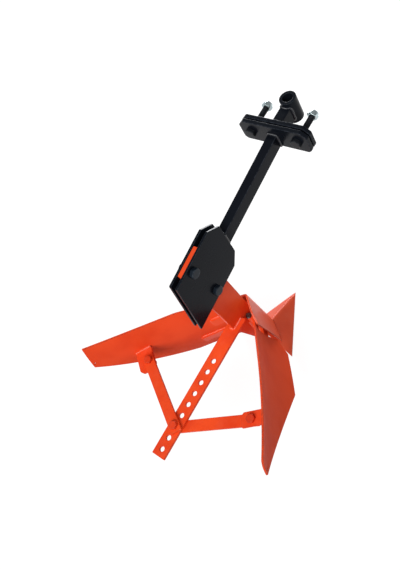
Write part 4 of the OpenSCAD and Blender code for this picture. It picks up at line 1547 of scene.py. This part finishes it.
    def link(self) -> None:
        """Link with square ends and two holes."""
        start, length = LAYOUT.lug_pivot(self.side), LAYOUT.link_length
        ahead = (LAYOUT.pin() - start) / np.linalg.norm(LAYOUT.pin() - start)
        outline = rectangle(length / 2 + self.link_end, self.link_width / 2) + [length / 2, 0]
        holes = [self.bolt.hole(place, 0) for place in (0, length)]
        lay = flat_lay(start + UP * self.link_top, ahead, np.cross(UP, ahead), -UP)
        plate = RoundedPlate(soften(outline, 1.5), self.link_thickness, lay, holes, radius=0.8)
        self.put(plate.shell(), "link", ORANGE, self.link_body)

    def pivot(self) -> None:
        """Bolt and nut through lug and link: link on top on the left, lug on top on the right."""
        if self.side is Side.LEFT:
            head, foot = self.link_top + self.gap, -self.lug_thickness
        else:
            head, foot = 0.0, self.link_top - self.link_thickness - self.gap
        seat = LAYOUT.lug_pivot(self.side) + UP * head
        grip = head - foot + self.washer
        bolt, nut = Shell(), Shell()
        bolt.turn(seat, UP, self.bolt.form(HexForm.HEAD, self.bolt.head_height))
        length = grip + self.nut_height + self.bolt_tail
        bolt.turn(seat, -UP, self.bolt.shank(self.lug_bolt_plain, length))
        nut.turn(seat - UP * grip, -UP, self.bolt.form(HexForm.NUT, self.nut_height))
        self.put(bolt, "lug_bolt", BOLT_ORANGE, self.body)
        self.put(nut, "lug_nut", BOLT_ORANGE, self.body)
        paint_nodes(BOLT_ORANGE, f"{self.side.label}_lug_washer")

    def adjusting_end(self) -> None:
        """The half of the adjusting bolt on this link: head on the left link, nut on the right one."""
        shell, part = Shell(), "adjusting_bolt"
        top, through = LAYOUT.pin() + UP * self.link_top, self.link_thickness
        if self.side is Side.LEFT:
            shell.turn(top, UP, self.bolt.form(HexForm.HEAD, self.bolt.head_height))
        else:
            part = "adjusting_nut"
            shell.turn(top - UP * through, -UP, self.bolt.form(HexForm.NUT, self.nut_height))
            through += self.nut_height + self.bolt_tail
        shell.turn(top, -UP, self.bolt.shank(self.adjusting_bolt_plain, through))
        settle(shell, f"{part}_looks", BOLT_ORANGE, self.link_body, [part])

    def welds(self) -> None:
        """Beads along the lug, above and below it, and along the edges of the hinge leaves."""
        shell = Shell()
        for up in (0.8, -self.lug_thickness - 0.8):
            shell.bead(self.on_face(self.lug_run(20), np.full(20, up), self.thickness + 0.6), radius=3.0)
        depth = self.thickness + 0.8
        for length, low in self.leaves:
            high = low + self.leaf_height
            run = np.linspace(self.leaf_start, length - 2.0, 24)
            rise = np.linspace(low + 1.0, high - 1.0, 18)
            for up in (low - 0.2, high + 0.2):
                shell.bead(self.on_face(run, np.full(24, up), depth), radius=1.8)
            shell.bead(self.on_face(np.full(18, length + 0.2), rise, depth), radius=1.8)
        settle(shell, f"{self.side.label}_wing_welds", WELD_PAINTED_HIGHLIGHT, self.body, flat_sides=False)


# Studio


@dataclass(frozen=True)
class Lamp:
    """One soft area light: its name, place, width, power in watts and tint."""

    name: str
    at: Place
    size: float
    power: float
    tint: Colour


@dataclass
class Studio:
    """Camera at the photograph's angle, pale floor and soft lights.

    The camera's three directions are the picture's right, its down and the way that it looks.
    """

    camera_at: Place = (-571.4, -626.2, 830.7)
    right: Place = (0.509, -0.750, -0.422)
    down: Place = (-0.842, -0.331, -0.427)
    depth: Place = (0.181, 0.573, -0.800)
    sensor: float = 36.0
    picture_height: float = 570.0
    focal_pixels: float = 601.0
    target: Place = (-330.0, 0.0, -200.0)
    ground: float = -385.2
    floor_reach: float = 6000.0
    floor_grey: float = 0.16
    floor_glow: float = 0.88
    overhead_at: Place = (-2000.0, -400.0, 1500.0)
    overhead_strength: float = 2.95
    overhead_spread: float = math.radians(40.0)
    lamps: Sequence[Lamp] = (Lamp("fill", (300.0, -1900.0, 900.0), 320.0, 5.0, (0.95, 0.97, 1.0)),
                             Lamp("rim", (1000.0, 900.0, 60.0), 700.0, 30.0, (0.97, 0.98, 1.0)))
    sky_light: float = 0.36

    def build(self) -> None:
        """Build camera, floor, lights and sky."""
        self.camera()
        self.floor()
        self.lights()
        self.sky()
        settings = bpy.context.scene.view_settings
        settings.view_transform = "Standard"
        settings.look = "None"

    @staticmethod
    def link(name: str, data: bpy.types.ID) -> bpy.types.Object:
        """Make an object and link it to the scene.

        Args:
            name: Name of the object.
            data: Its camera, light or mesh.

        Returns:
            The object.
        """
        made = bpy.data.objects.new(name, data)
        bpy.context.scene.collection.objects.link(made)
        return made

    def camera(self) -> None:
        """Camera from its place and three directions, with a focal length for the picture's long side."""
        data = bpy.data.cameras.new("photo_camera")
        data.lens = self.focal_pixels / self.picture_height * self.sensor
        data.sensor_width = self.sensor
        data.clip_end = 50.0
        made = self.link("photo_camera", data)
        u, _, v = np.linalg.svd(np.array([self.right, np.negative(self.down), np.negative(self.depth)]).T)
        place = Matrix((u @ v).tolist()).to_4x4()
        place.translation = Vector(self.camera_at) * MM
        made.matrix_world = place
        bpy.context.scene.camera = made

    def floor(self) -> None:
        """A wide pale floor just under the share's cutting edge, which casts no tinted light upwards."""
        mesh = bpy.data.meshes.new("floor")
        corners = [(x, y, self.ground) for x, y in rectangle(self.floor_reach, self.floor_reach)]
        mesh.from_pydata((np.array(corners) * MM).tolist(), [], [(0, 1, 2, 3)])
        paper = bpy.data.materials.new("pale_paper")
        paper.use_nodes = True
        inputs = paper.node_tree.nodes["Principled BSDF"].inputs
        inputs["Base Color"].default_value = (self.floor_grey, self.floor_grey, self.floor_grey, 1.0)
        inputs["Roughness"].default_value = 0.9
        inputs["Specular IOR Level"].default_value = 0.1
        inputs["Emission Color"].default_value = (1.0, 1.0, 1.0, 1.0)
        inputs["Emission Strength"].default_value = self.floor_glow
        mesh.materials.append(paper)
        made = self.link("floor", mesh)
        made.visible_diffuse = False

    def lights(self) -> None:
        """A broad overhead light, even over the whole floor, and soft area lights, all facing the object."""
        sun = bpy.data.lights.new("overhead", "SUN")
        sun.energy = self.overhead_strength
        sun.angle = self.overhead_spread
        hung = [(sun, self.overhead_at)]
        for lamp in self.lamps:
            area = bpy.data.lights.new(lamp.name, "AREA")
            area.size = lamp.size * MM
            area.energy = lamp.power
            area.color = lamp.tint
            hung.append((area, lamp.at))
        for data, at in hung:
            made = self.link(data.name, data)
            made.location = Vector(at) * MM
            made.rotation_euler = (Vector(self.target) - Vector(at)).to_track_quat("-Z", "Y").to_euler()

    def sky(self) -> None:
        """Even surroundings that light the object softly and look white themselves."""
        world = bpy.data.worlds.new("soft_sky")
        world.use_nodes = True
        wire = Wiring(world.node_tree)
        background = world.node_tree.nodes["Background"]
        background.inputs["Color"].default_value = (1.0, 1.0, 1.0, 1.0)
        seen = wire.add("ShaderNodeLightPath").outputs["Is Camera Ray"]
        strength = wire.maths("MULTIPLY_ADD", seen, 1.0 - self.sky_light, self.sky_light)
        wire.join(strength, background.inputs["Strength"])
        bpy.context.scene.world = world


def write_size() -> None:
    """Hold a helper that turns box corners into plain lists; nothing is written."""
    def plain(box: object) -> list:
        """Corners as lists of numbers."""
        return [[float(v) for v in corner] for corner in box]


def main() -> None:
    """Build the studio, then the ridger's looks piece by piece."""
    logging.basicConfig(level=logging.INFO, format="%(message)s")
    Studio().build()
    Hitch().build()
    Drawbar().build()
    Core().build()
    for side in Side:
        Wing(side).build()
    write_size()


if __name__ == "__main__":
    main()
